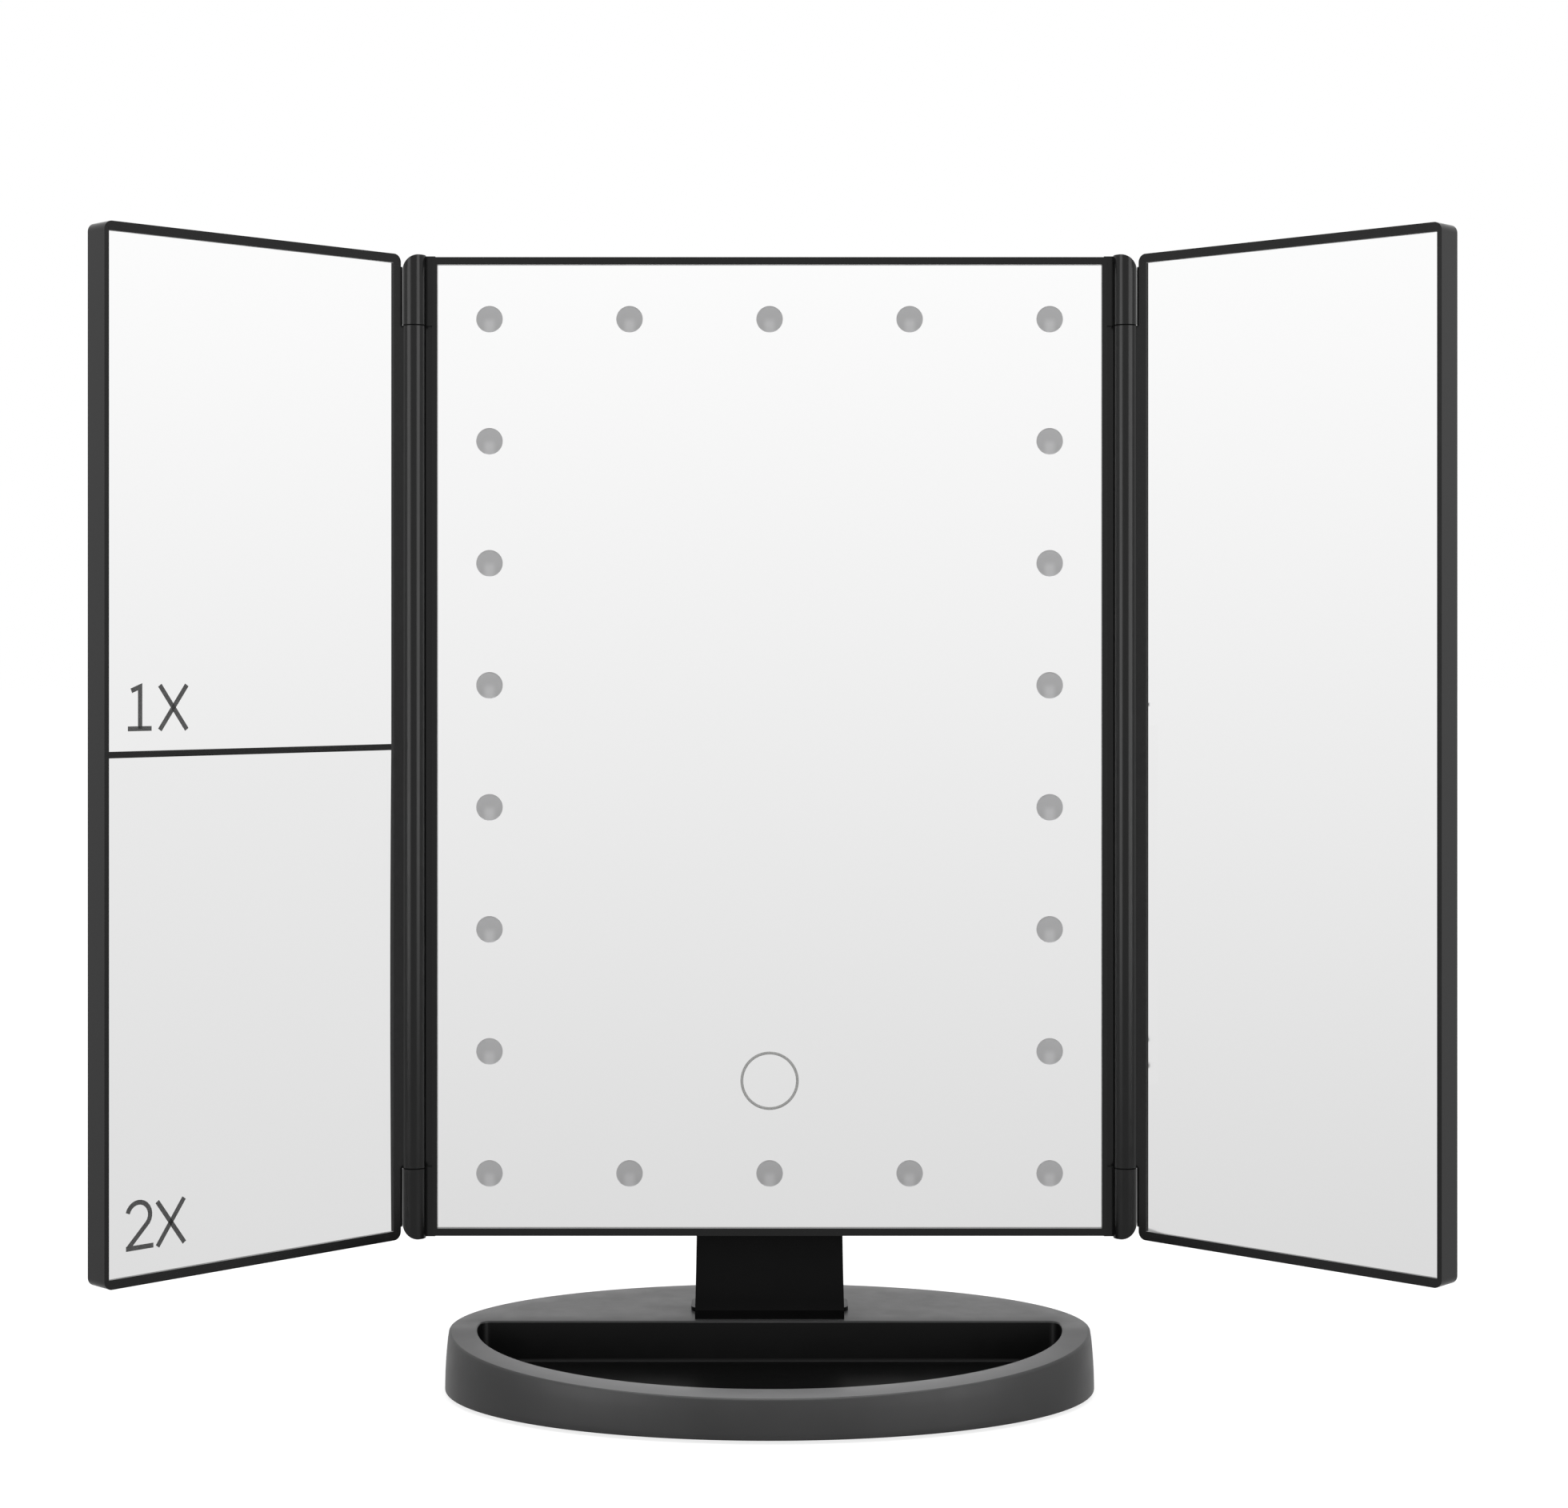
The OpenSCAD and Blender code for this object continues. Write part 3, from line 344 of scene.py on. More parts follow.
def moulded_plastic(name, level, roughness, specular=0.5, grain=0.003):
    """Moulded plastic: a fine spark-eroded grain, with a little unevenness in tone and gloss."""
    material, tree, shader = base_material(name, grey(level), roughness, specular=specular)
    broad = noise(tree, 45)
    colour = blend_colours(tree, spread(tree, broad, 0, 1), grey(level * 0.9), grey(level * 1.1))
    tree.links.new(colour, shader.inputs["Base Color"])
    tree.links.new(spread(tree, noise(tree, 160), roughness - 0.03, roughness + 0.03),
                   shader.inputs["Roughness"])
    bump(tree, shader, noise(tree, 2600, detail=3), grain * MM)
    return material


def deck_painted_light(rear, front):
    """The base's matt top, with painted light: lighter than the base's sides, and its tone rises from
    the deck's level towards the front rim as a painted highlight on the front slope.
    """
    rim_front = -45 * MM
    material, tree, shader = base_material("deck_painted_light", grey(rear), 0.35, specular=0.15)
    place = tree.nodes.new("ShaderNodeTexCoord")
    axes = tree.nodes.new("ShaderNodeSeparateXYZ")
    tree.links.new(place.outputs["Object"], axes.inputs["Vector"])
    # Painted highlight: the colour lightens towards the front rim
    painted_highlight_share = ramp_value(tree, axes.outputs["Y"], 0.0, rim_front)
    tree.links.new(blend_colours(tree, painted_highlight_share, grey(rear), grey(front)), shader.inputs["Base Color"])
    tree.links.new(spread(tree, noise(tree, 160), 0.32, 0.38), shader.inputs["Roughness"])
    bump(tree, shader, noise(tree, 2600, detail=3), 0.003 * MM)
    return material


def mirror_silver():
    """Silvered glass: all but clear, with the faintest wiping marks in its gloss."""
    material, tree, shader = base_material("mirror_silver", (1, 1, 1), 0.02, metallic=1)
    wipes = noise(tree, 30, detail=4, stretch=(1, 1, 0.3))
    tree.links.new(spread(tree, wipes, 0.01, 0.035), shader.inputs["Roughness"])
    return material


def metal(name, colour, roughness):
    """Drawn metal: its gloss runs in fine upright streaks."""
    material, tree, shader = base_material(name, colour, roughness, metallic=1)
    streaks = noise(tree, 700, stretch=(1, 1, 0.1))
    tree.links.new(spread(tree, streaks, roughness - 0.06, roughness + 0.06),
                   shader.inputs["Roughness"])
    bump(tree, shader, noise(tree, 3000), 0.002 * MM)
    return material


def coated(name, first, second, roughness, scale, grain):
    """A painted, printed or moulded surface that varies between two near colours."""
    material, tree, shader = base_material(name, first, roughness)
    tree.links.new(blend_colours(tree, spread(tree, noise(tree, scale), 0, 1), first, second),
                   shader.inputs["Base Color"])
    bump(tree, shader, noise(tree, scale * 4, detail=3), grain * MM)
    return material


def frosted_disc(name, low, high):
    """Frosted glass with painted light: a little lighter from a disc's middle down to its lower edge."""
    material, tree, shader = base_material(name, grey(low), 0.45)
    place = tree.nodes.new("ShaderNodeUVMap")
    axes = tree.nodes.new("ShaderNodeSeparateXYZ")
    tree.links.new(place.outputs["UV"], axes.inputs["Vector"])
    across = ramp_value(tree, math_node(tree, "ABSOLUTE", axes.outputs["X"]), 0.6, 0.1)
    down = ramp_value(tree, axes.outputs["Y"], 0.25, -0.35)
    # Painted light: the lighter band from the disc's middle down to its lower edge
    band = math_node(tree, "MULTIPLY", across, down)
    tree.links.new(blend_colours(tree, band, grey(low), grey(high)), shader.inputs["Base Color"])
    bump(tree, shader, noise(tree, 3500, detail=3), 0.004 * MM)
    return material


CASE = moulded_plastic("case_plastic", 0.004, 0.2, specular=0.3)
CASE_BASE = moulded_plastic("base_plastic", 0.046, 0.4, specular=0.3)
# The deck is the base's plastic painted lighter, as if lit from above, with a painted highlight at the
# front
CASE_DECK_LIT = deck_painted_light(0.085, 0.17)
# The base's own plastic made far darker: painted shade in the tray's recess
CASE_TRAY_SHADE = moulded_plastic("tray_painted_shade", 0.004, 0.32, specular=0.12)
# A darker, duller copy of the case plastic: painted shade for the neck under the panel
CASE_NECK_SHADE = moulded_plastic("neck_painted_shade", 0.003, 0.3, specular=0.08)
# A darker, matt copy of the case plastic: painted shade in the hinge gaps
CASE_GAP_SHADE = moulded_plastic("gap_painted_shade", 0.002, 0.6, specular=0.05)
MIRROR = mirror_silver()
FROST = frosted_disc("frosted_glass", 0.56, 0.70)
MARK = coated("printed_mark", (0.06, 0.06, 0.06), (0.09, 0.09, 0.09), 0.5, 900, 0.003)
RING = coated("etched_mark", (0.46, 0.46, 0.45), (0.52, 0.52, 0.51), 0.5, 900, 0.003)
RUBBER = coated("foot_rubber", (0.012, 0.012, 0.012), (0.02, 0.02, 0.02), 0.75, 400, 0.03)
IRON = metal("weight_iron", (0.42, 0.42, 0.43), 0.45)
STEEL = metal("screw_steel", (0.62, 0.62, 0.63), 0.3)
TAPE = coated("foam_tape", (0.75, 0.75, 0.72), (0.82, 0.82, 0.8), 0.9, 900, 0.05)
BOARD_WHITE = coated("light_board", (0.8, 0.8, 0.78), (0.86, 0.86, 0.85), 0.4, 300, 0.004)
DIODE = coated("diode", (0.85, 0.75, 0.25), (0.9, 0.82, 0.35), 0.4, 600, 0.004)
COPPER = metal("copper", (0.78, 0.42, 0.26), 0.35)
BOARD_GREEN = coated("circuit_board", (0.01, 0.10, 0.04), (0.02, 0.16, 0.06), 0.35, 250, 0.006)
CHIP = coated("chip", (0.012, 0.012, 0.013), (0.02, 0.02, 0.021), 0.45, 800, 0.006)
WIRE = coated("wire", (0.35, 0.01, 0.01), (0.45, 0.02, 0.015), 0.4, 500, 0.004)
KNOB = coated("knob_plastic", (0.55, 0.55, 0.54), (0.6, 0.6, 0.59), 0.4, 300, 0.006)
SLEEVE = coated("cell_sleeve", (0.02, 0.07, 0.03), (0.03, 0.1, 0.05), 0.3, 200, 0.003)

NODE_MATERIALS = {
    "base_shell": CASE_BASE, "base_cover": CASE_BASE, "foot_ring": RUBBER, "counterweight": IRON,
    "base_screws": STEEL, "weight_screws": STEEL, "neck_shell": CASE_NECK_SHADE, "neck_cover": CASE_NECK_SHADE,
    "neck_screws": STEEL, "neck_cover_screws": STEEL, "tilt_washers": STEEL, "tilt_pin": STEEL,
    "tilt_nut": STEEL, "centre_frame": CASE, "back_cover": CASE, "cover_screws": STEEL,
    "centre_mirror": MIRROR, "light_windows": FROST, "touch_mark": RING, "centre_tape": TAPE,
    "light_boards": BOARD_WHITE, "light_diodes": DIODE, "touch_sensor": COPPER,
    "control_board": BOARD_GREEN, "control_chips": CHIP, "wires": WIRE, "power_socket": STEEL,
    "switch_body": STEEL, "switch_knob": KNOB, "battery_tray": CASE, "battery_contacts": STEEL,
    "batteries": SLEEVE, "battery_door": CASE, "left_hinge_pins": STEEL,
    "right_hinge_pins": STEEL, "left_frame": CASE, "left_back": CASE,
    "left_mirror_upper": MIRROR, "left_mirror_lower": MIRROR, "left_divider": CASE,
    "left_tape": TAPE, "right_frame": CASE, "right_back": CASE, "right_mirror": MIRROR,
    "right_tape": TAPE,
}


def dress_nodes():
    """Gives every CAD node its material."""
    for name, material in NODE_MATERIALS.items():
        node = NODES[name]
        node.data.materials.clear()
        node.data.materials.append(material)


# ---- the studio ----

def make_camera():
    """Level, 720 mm in front of the wings' hinges, the picture shifted down to the base."""
    focal_px = 3683
    horizon_px = 811.2
    axis_px = 962
    place = (0, -0.7202, 0.18145)
    sensor = 36.0
    camera = bpy.data.cameras.new("camera")
    camera.sensor_fit = "HORIZONTAL"
    camera.sensor_width = sensor
    camera.lens = focal_px / IMAGE_W * sensor
    camera.shift_x = (IMAGE_W / 2 - axis_px) / IMAGE_W
    camera.shift_y = -(IMAGE_H / 2 - horizon_px) / IMAGE_W
    obj = bpy.data.objects.new("camera", camera)
    bpy.context.scene.collection.objects.link(obj)
    obj.location = place
    obj.rotation_euler = (math.radians(90), 0, 0)
    bpy.context.scene.camera = obj


def in_mirrors(tree, path):
    """1 for what metal, glass and gloss show, 0 for all else."""
    return math_node(tree, "MAXIMUM", path.outputs["Is Glossy Ray"], path.outputs["Is Transmission Ray"])


def background(tree, strength):
    """A white background shader."""
    node = tree.nodes.new("ShaderNodeBackground")
    node.inputs["Color"].default_value = (1, 1, 1, 1)
    node.inputs["Strength"].default_value = strength
    return node


def mixed(tree, factor, first, second):
    """A shader from first to second by a factor."""
    node = tree.nodes.new("ShaderNodeMixShader")
    tree.links.new(factor, node.inputs["Fac"])
    tree.links.new(first, node.inputs[1])
    tree.links.new(second, node.inputs[2])
    return node.outputs["Shader"]


def faded_studio(tree):
    """The studio as the mirrors show it, white above and a light grey below."""
    # Tone by the rise of the view, from -1 straight down to 1 straight up
    fade = [(-1.0, 0.60), (-0.20, 0.71), (0.0, 0.87), (0.14, 0.98), (0.3, 1.0)]
    direction = tree.nodes.new("ShaderNodeTexCoord")
    axes = tree.nodes.new("ShaderNodeSeparateXYZ")
    height = tree.nodes.new("ShaderNodeMapRange")
    height.inputs["From Min"].default_value = -1
    ramp = tree.nodes.new("ShaderNodeValToRGB")
    while len(ramp.color_ramp.elements) < len(fade):
        ramp.color_ramp.elements.new(0.5)
    for element, (rise, level) in zip(ramp.color_ramp.elements, fade):
        element.position = (rise + 1) / 2
        element.color = (level, level, level, 1)
    node = background(tree, 1.0)
    tree.links.new(direction.outputs["Generated"], axes.inputs["Vector"])
    tree.links.new(axes.outputs["Z"], height.inputs["Value"])
    tree.links.new(height.outputs["Result"], ramp.inputs["Fac"])
    tree.links.new(ramp.outputs["Color"], node.inputs["Color"])
    return node.outputs["Background"]


def make_world():
    """A white studio: soft light on the object, white to the camera, faded in the mirrors."""
    light_level = 0.7
    world = bpy.data.worlds.new("studio")
    world.use_nodes = True
    bpy.context.scene.world = world
    tree = world.node_tree
    tree.nodes.clear()
    output = tree.nodes.new("ShaderNodeOutputWorld")
    path = tree.nodes.new("ShaderNodeLightPath")
    lighting = background(tree, light_level).outputs["Background"]
    white = background(tree, 1.0).outputs["Background"]
    seen = mixed(tree, path.outputs["Is Camera Ray"], lighting, white)
    tree.links.new(mixed(tree, in_mirrors(tree, path), seen, faded_studio(tree)),
                   output.inputs["Surface"])


def floor_material():
    """White to the camera, with the object's shadow; the mirrors see the studio through it."""
    glow_level = 0.8
    material = bpy.data.materials.new("floor")
    material.use_nodes = True
    tree = material.node_tree
    tree.nodes.clear()
    output = tree.nodes.new("ShaderNodeOutputMaterial")
    path = tree.nodes.new("ShaderNodeLightPath")
    matt = tree.nodes.new("ShaderNodeBsdfDiffuse")
    grain = spread(tree, noise(tree, 300), 0, 1)
    tree.links.new(blend_colours(tree, grain, (0.34, 0.34, 0.34), (0.36, 0.36, 0.36)),
                   matt.inputs["Color"])
    glow = tree.nodes.new("ShaderNodeEmission")
    glow.inputs["Color"].default_value = (1, 1, 1, 1)
    tree.links.new(spread_exact(tree, path.outputs["Is Camera Ray"], 0, glow_level),
                   glow.inputs["Strength"])
    lit = tree.nodes.new("ShaderNodeAddShader")
    tree.links.new(matt.outputs["BSDF"], lit.inputs[0])
    tree.links.new(glow.outputs["Emission"], lit.inputs[1])
    clear = tree.nodes.new("ShaderNodeBsdfTransparent")
    shown = mixed(tree, in_mirrors(tree, path), lit.outputs["Shader"], clear.outputs["BSDF"])
    tree.links.new(shown, output.inputs["Surface"])
    return material


def make_floor():
    """A wide plain floor under the object."""
    half = 12.0
    mesh = bpy.data.meshes.new("floor")
    corners = [(-half, -half, 0), (half, -half, 0), (half, half, 0), (-half, half, 0)]
    mesh.from_pydata(corners, [], [(0, 1, 2, 3)])
    mesh.materials.append(floor_material())
    obj = bpy.data.objects.new("floor", mesh)
    bpy.context.scene.collection.objects.link(obj)


def softbox(name, place, aim, width, height, watts):
    """An area light of some size at a place, turned to what it lights."""
    light = bpy.data.lights.new(name, "AREA")
    light.shape = "RECTANGLE"
    light.size = width
    light.size_y = height
    light.energy = watts
    obj = bpy.data.objects.new(name, light)
    bpy.context.scene.collection.objects.link(obj)
    obj.location = place
    obj.rotation_euler = (Vector(aim) - Vector(place)).to_track_quat("-Z", "Y").to_euler()
    return obj


def make_studio():
    """Camera, world, floor, a lamp above and two beside, which only gloss shows."""
    make_camera()
    make_world()
    make_floor()
    softbox("top_light", (0, -0.2, 1.5), (0, 0, 0.1), width=1.0, height=0.8, watts=9)
    level = 0.42
    for name, side in (("left_strip", -1), ("right_strip", 1)):
        strip = softbox(name, (side * 1.08, -1.04, level), (0, 0, level),
                        width=0.8, height=1.0, watts=6.3)
        strip.visible_diffuse = False   # they draw the light lines on the round knuckles
    bpy.context.scene.view_settings.view_transform = "Standard"


# ---- the base ----

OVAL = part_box("base_shell")
OVAL_A = (OVAL[1].x - OVAL[0].x) / 2
OVAL_B = (OVAL[1].y - OVAL[0].y) / 2
OVAL_Y = (OVAL[1].y + OVAL[0].y) / 2
SKIRT_Z = OVAL[0].z
DECK_Z = OVAL[1].z
FRONT_Z = 10.0 * MM         # height of the base's front edge
RIM_W = 7.8 * MM            # rim round the tray, at the base's foot
TRAY_Y = 7.3 * MM           # the tray's straight back wall
TRAY_R = 2.5 * MM           # its back corners
TRAY_Z = 5.4 * MM           # its floor
TRAY_WALL = 1.8 * MM
BASE_WALL = 2.2 * MM
DECK_T = 2.0 * MM
FLARE = 0.9 * MM            # how much narrower the base is at its deck, each side


def deck_height(y):
    """The deck is flat behind the hinges' plane and slopes down to the front edge."""
    slope = (DECK_Z - FRONT_Z) / (OVAL_B - OVAL_Y)
    soft = 1.5 * MM
    return DECK_Z + slope * (y - math.sqrt(y * y + soft * soft)) / 2


def under_deck(y):
    """The height of the deck's underside."""
    return deck_height(y) - DECK_T


def oval_outline(inset, count=192):
    """The base's oval, drawn in by an inset."""
    return [(math.cos(math.tau * i / count) * (OVAL_A - inset),
             OVAL_Y + math.sin(math.tau * i / count) * (OVAL_B - inset)) for i in range(count)]


def tray_outline(inset, back=TRAY_Y, radius=TRAY_R, front_steps=120, side_steps=10, back_steps=60):
    """The half-moon tray: the oval's front, two round back corners and a straight back."""
    a = OVAL_A - inset
    b = OVAL_B - inset
    turn_y = back - radius
    corner_a = a - radius
    corner_b = b - radius
    turn_x = corner_a * math.sqrt(1 - ((turn_y - OVAL_Y) / corner_b) ** 2)
    normal = math.atan2((turn_y - OVAL_Y) / corner_b ** 2, turn_x / corner_a ** 2)
    start = math.atan2((turn_y - OVAL_Y) / corner_b, turn_x / corner_a)
    points = []
    for i in range(side_steps):
        angle = normal + (math.pi / 2 - normal) * i / side_steps
        points.append((turn_x + radius * math.cos(angle), turn_y + radius * math.sin(angle)))
    for i in range(back_steps):
        points.append((turn_x * (1 - 2 * i / back_steps), back))
    for i in range(side_steps):
        angle = math.pi / 2 + (math.pi / 2 - normal) * i / side_steps
        points.append((-turn_x + radius * math.cos(angle), turn_y + radius * math.sin(angle)))
    for i in range(front_steps):
        angle = math.pi - start + (math.pi + 2 * start) * i / front_steps
        points.append((a * math.cos(angle), OVAL_Y + b * math.sin(angle)))
    return points


def offset_outline(points, distance):
    """A closed outline, counter-clockwise, moved outwards by a small distance."""
    moved = []
    count = len(points)
    for i in range(count):
        before = Vector(points[i - 1])
        after = Vector(points[(i + 1) % count])
        along = (after - before).normalized()
        moved.append((points[i][0] + along.y * distance, points[i][1] - along.x * distance))
    return moved


def at_height(points, height):
    """Points of an outline lifted to a height, or to what a function of y gives."""
    if callable(height):
        return [(x, y, height(y)) for x, y in points]
    return [(x, y, height) for x, y in points]


def fill_between(bm, outer, inner, height, spacing=None):
    """Triangles between an outer ring of vertices and a hole, lifted by a function of y.

    With a spacing, a grid of inner points follows the height between the two.
    """
    points = [Vector((v.co.x, v.co.y)) for v in outer + inner]
    count = len(outer)
    edges = [(i, (i + 1) % count) for i in range(count)]
    hole = len(inner)
    edges += [(count + i, count + (i + 1) % hole) for i in range(hole)]
    rings = [points[:count], points[count:]]
    if spacing:
        points += inner_points(rings, spacing)
    result = delaunay_2d_cdt(points, edges, [], 1, 1e-9)
    verts = []
    given = outer + inner
    for place, origins in zip(result[0], result[3]):
        origin = next((i for i in origins if i < len(given)), None)
        if origin is None:
            verts.append(bm.verts.new((place.x, place.y, height(place.y))))
        else:
            verts.append(given[origin])
    for face in result[2]:
        middle = sum((result[0][i] for i in face), Vector((0, 0))) / len(face)
        if inside(middle, rings[0]) and not inside(middle, rings[1]):
            bm.faces.new([verts[i] for i in face])


def inner_points(rings, spacing):
    """A grid of points between an outer ring and a hole, clear of both."""
    low, high = box_of([(p.x, p.y, 0) for p in rings[0]])
    found = []
    for i in range(int((high.x - low.x) / spacing) + 1):
        for j in range(int((high.y - low.y) / spacing) + 1):
            place = Vector((low.x + (i + (j % 2) / 2) * spacing, low.y + j * spacing))
            clear = min((place - p).length for ring_points in rings for p in ring_points)
            if clear > spacing * 0.6 and inside(place, rings[0]) and not inside(place, rings[1]):
                found.append(place)
    return found


def inside(place, outline):
    """Whether a point lies inside a closed outline."""
    found = False
    for p, q in zip(outline, outline[1:] + outline[:1]):
        if (p.y > place.y) != (q.y > place.y):
            if place.x < (q.x - p.x) * (place.y - p.y) / (q.y - p.y) + p.x:
                found = not found
    return found


def fillet(radius, steps=4):
    """A quarter round as (inwards, down) from the top face: from the wall up to the face."""
    return [(radius * (1 - math.cos(math.pi / 2 * i / steps)),
             radius * (1 - math.sin(math.pi / 2 * i / steps))) for i in range(steps + 1)]


def base_outside(bm):
    """The flared wall from its foot up to the rounded top edge; returns its foot and top ring."""
    foot_r = 0.4 * MM
    top_r = 0.6 * MM
    wall_steps = 6
    wall = [at_height(oval_outline(BASE_WALL), SKIRT_Z)]
    for inwards, up in reversed(fillet(foot_r)):
        wall.append(at_height(oval_outline(inwards), SKIRT_Z + up))
    for step in range(1, wall_steps):
        share = step / wall_steps
        wall.append(at_height(oval_outline(FLARE * share ** 2),
                              lambda y: SKIRT_Z + share * (deck_height(y) - SKIRT_Z)))
    for inwards, down in fillet(top_r):
        wall.append(at_height(oval_outline(FLARE + inwards), lambda y: deck_height(y) - down))
    return loft(bm, wall)


def tray_hollow(bm):
    """The tray from its soft lip down to its floor, in material 1, which carries the tray's painted
    shade; returns the lip's ring.
    """
    edge_r = 0.4 * MM
    floor_r = 1.0 * MM
    draft = 0.3 * MM
    tray = tray_outline(RIM_W)
    hole = []
    for inwards, down in reversed(fillet(edge_r)):
        hole.append(at_height(offset_outline(tray, inwards), lambda y: deck_height(y) - down))
    for inwards, up in fillet(floor_r):
        hole.append(at_height(offset_outline(tray, -draft - inwards), TRAY_Z + up))
    before = set(bm.faces)
    lip, bottom = loft(bm, hole)
    bm.faces.new(bottom)
    for face in set(bm.faces) - before:
        middle = face.calc_center_median()
        # Faces below the lip get the tray's painted shade
        in_tray = middle.z < deck_height(middle.y) - edge_r
        face.material_index = 1 if in_tray else 0
    return lip


def base_inside(bm, foot):
    """The shell's hollow underside, with the tray's block hanging into it."""
    grid = 9 * MM
    seam = 0.01 * MM            # keeps the inner wall's foot apart from the outer one's until
    weld = 0.02 * MM            # both are welded
    inner_foot, inner_rim = loft(bm, [at_height(oval_outline(BASE_WALL), SKIRT_Z + seam),
                                      at_height(oval_outline(BASE_WALL + FLARE), under_deck)])
    bridge(bm, foot, inner_foot)
    block = tray_outline(RIM_W - TRAY_WALL, TRAY_Y + TRAY_WALL, TRAY_R)
    block_top, block_bottom = loft(bm, [at_height(block, under_deck),
                                        at_height(block, TRAY_Z - TRAY_WALL)])
    fill_between(bm, inner_rim, block_top, under_deck, grid)
    bm.faces.new(block_bottom)
    bmesh.ops.remove_doubles(bm, verts=bm.verts, dist=weld)


def make_base_shell():
    """The oval shell: a flared wall, a rounded top edge, a deck and the tray sunk into it."""
    grid = 5 * MM
    bm = bmesh.new()
    foot, rim = base_outside(bm)
    lip = tray_hollow(bm)
    before = set(bm.faces)
    fill_between(bm, rim, lip, deck_height, grid)
    for face in set(bm.faces) - before:
        face.material_index = 2
    base_inside(bm, foot)
    finished("base_shell_skin", bm, "stand", [CASE_BASE, CASE_TRAY_SHADE, CASE_DECK_LIT], sharp=40,
             replaces=["base_shell"])


# ---- hinge trim ----

def chamfered_block(bm, low, high):
    """An upright block between two corners, its four tall edges chamfered."""
    cut = 0.08 * MM
    outline = [(low[0] + cut, low[1]), (high[0] - cut, low[1]), (high[0], low[1] + cut),
               (high[0], high[1] - cut), (high[0] - cut, high[1]), (low[0] + cut, high[1]),
               (low[0], high[1] - cut), (low[0], low[1] + cut)]
    first, last = loft(bm, [at_height(outline, low[2]), at_height(outline, high[2])])
    bm.faces.new(first)
    bm.faces.new(last)


def make_hinge_trim(side):
    """A slim dark strip on the wing, painted shade in the gap beside each knuckle, and a washer under
    it.
    """
    place = wing_place(side)
    frame_low, frame_high = wing_box(side + "_frame", side)
    near, far = 3.02 * MM, 3.74 * MM        # from the hinge's axis
    front, rear = 0.65 * MM, 3.2 * MM
    knuckle, corner, past = 17.0 * MM, 3.0 * MM, 0.4 * MM
    bm = bmesh.new()
    for low, high in ((frame_low.z + corner, frame_low.z + knuckle + past),
                      (frame_high.z - knuckle - past, frame_high.z - corner)):
        chamfered_block(bm, (near, front, low), (far, rear, high))
    bmesh.ops.transform(bm, matrix=place, verts=bm.verts)
    trim = finished(side + "_gap_shade_strips", bm, side + "_wing", [CASE_GAP_SHADE])
    trim.visible_glossy = False
    bm = bmesh.new()
    inner, outer, thick = 1.1 * MM, 2.7 * MM, 0.26 * MM
    half_gap = 0.15 * MM
    for middle in (frame_low.z + knuckle + half_gap, frame_high.z - knuckle - half_gap):
        section = [(inner, middle - thick / 2), (outer, middle - thick / 2),
                   (outer, middle + thick / 2), (inner, middle + thick / 2)]
        turned_ring(bm, section, 40)
    bmesh.ops.transform(bm, matrix=place, verts=bm.verts)
    finished(side + "_hinge_washers", bm, "head", [CASE_GAP_SHADE])


# ---- mirrors ----

DISH_DEPTH = 0.58 * MM      # of the magnifying mirror, from its corners to its middle
MARK_T = 0.04 * MM          # how far a printed mark stands on the glass
MARK_LINE = 1.1 * MM        # the width of its strokes


def dish_depth(x, z, box):
    """How far the magnifying mirror's front lies behind its corners, in the wing's frame."""
    middle = (box[0] + box[1]) / 2
    reach = math.hypot(box[1].x - middle.x, box[1].z - middle.z)
    return DISH_DEPTH * (1 - (math.hypot(x - middle.x, z - middle.z) / reach) ** 2)


def make_dished_mirror():
    """The magnifying mirror: a flat glass with a shallow, smooth bowl for its front."""
    node = "left_mirror_lower"
    box = wing_box(node, "left")
    low, high = box
    across, up = 48, 72
    bm = bmesh.new()
    front = []
    for j in range(up + 1):
        z = low.z + (high.z - low.z) * j / up
        xs = [low.x + (high.x - low.x) * i / across for i in range(across + 1)]
        front.append(ring(bm, [(x, low.y + dish_depth(x, z, box), z) for x in xs]))
    for below, above in zip(front, front[1:]):
        for i in range(across):
            bm.faces.new((below[i], below[i + 1], above[i + 1], above[i]))
    edge = (front[0] + [row[-1] for row in front[1:]] + front[-1][-2::-1]
            + [row[0] for row in front[-2:0:-1]])
    back = ring(bm, [(vert.co.x, high.y, vert.co.z) for vert in edge])
    bridge(bm, edge, back)
    bm.faces.new(back)
    bmesh.ops.transform(bm, matrix=wing_place("left"), verts=bm.verts)
    finished("magnifying_mirror", bm, "left_wing", [MIRROR], replaces=[node])


def arc(middle, radius, start, end, steps=14):
    """Points on an arc, its angles in degrees."""
    angles = [math.radians(start + (end - start) * i / steps) for i in range(steps + 1)]
    return [(middle[0] + radius * math.cos(a), middle[1] + radius * math.sin(a)) for a in angles]


# Strokes of the marks as (right, up) in millimetres from each mark's lower left corner
ONE = [[(0.0, 0.4), (6.2, 0.4)], [(0.9, 9.0), (3.2, 9.9), (3.2, 0.4)]]
TWO = [arc((3.5, 7.7), 3.0, 165, -38) + [(0.5, 0.5)], [(0.1, 0.5), (7.3, 0.5)]]
TIMES = [[(8.4, 0.0), (15.6, 10.2)], [(8.4, 10.2), (15.6, 0.0)]]


def stroke_sides(points, half):
    """The points of a line's two sides, mitred at its bends."""
    left, right = [], []
    for i, point in enumerate(points):
        here = Vector(point)
        before = (here - Vector(points[i - 1])).normalized() if i else None
        after = (Vector(points[i + 1]) - here).normalized() if i + 1 < len(points) else before
        before = before or after
        along = (before + after).normalized()
        side = Vector((-along.y, along.x)) * half / max(along.dot(after), 0.5)
        left.append(here + side)
        right.append(here - side)
    return left, right


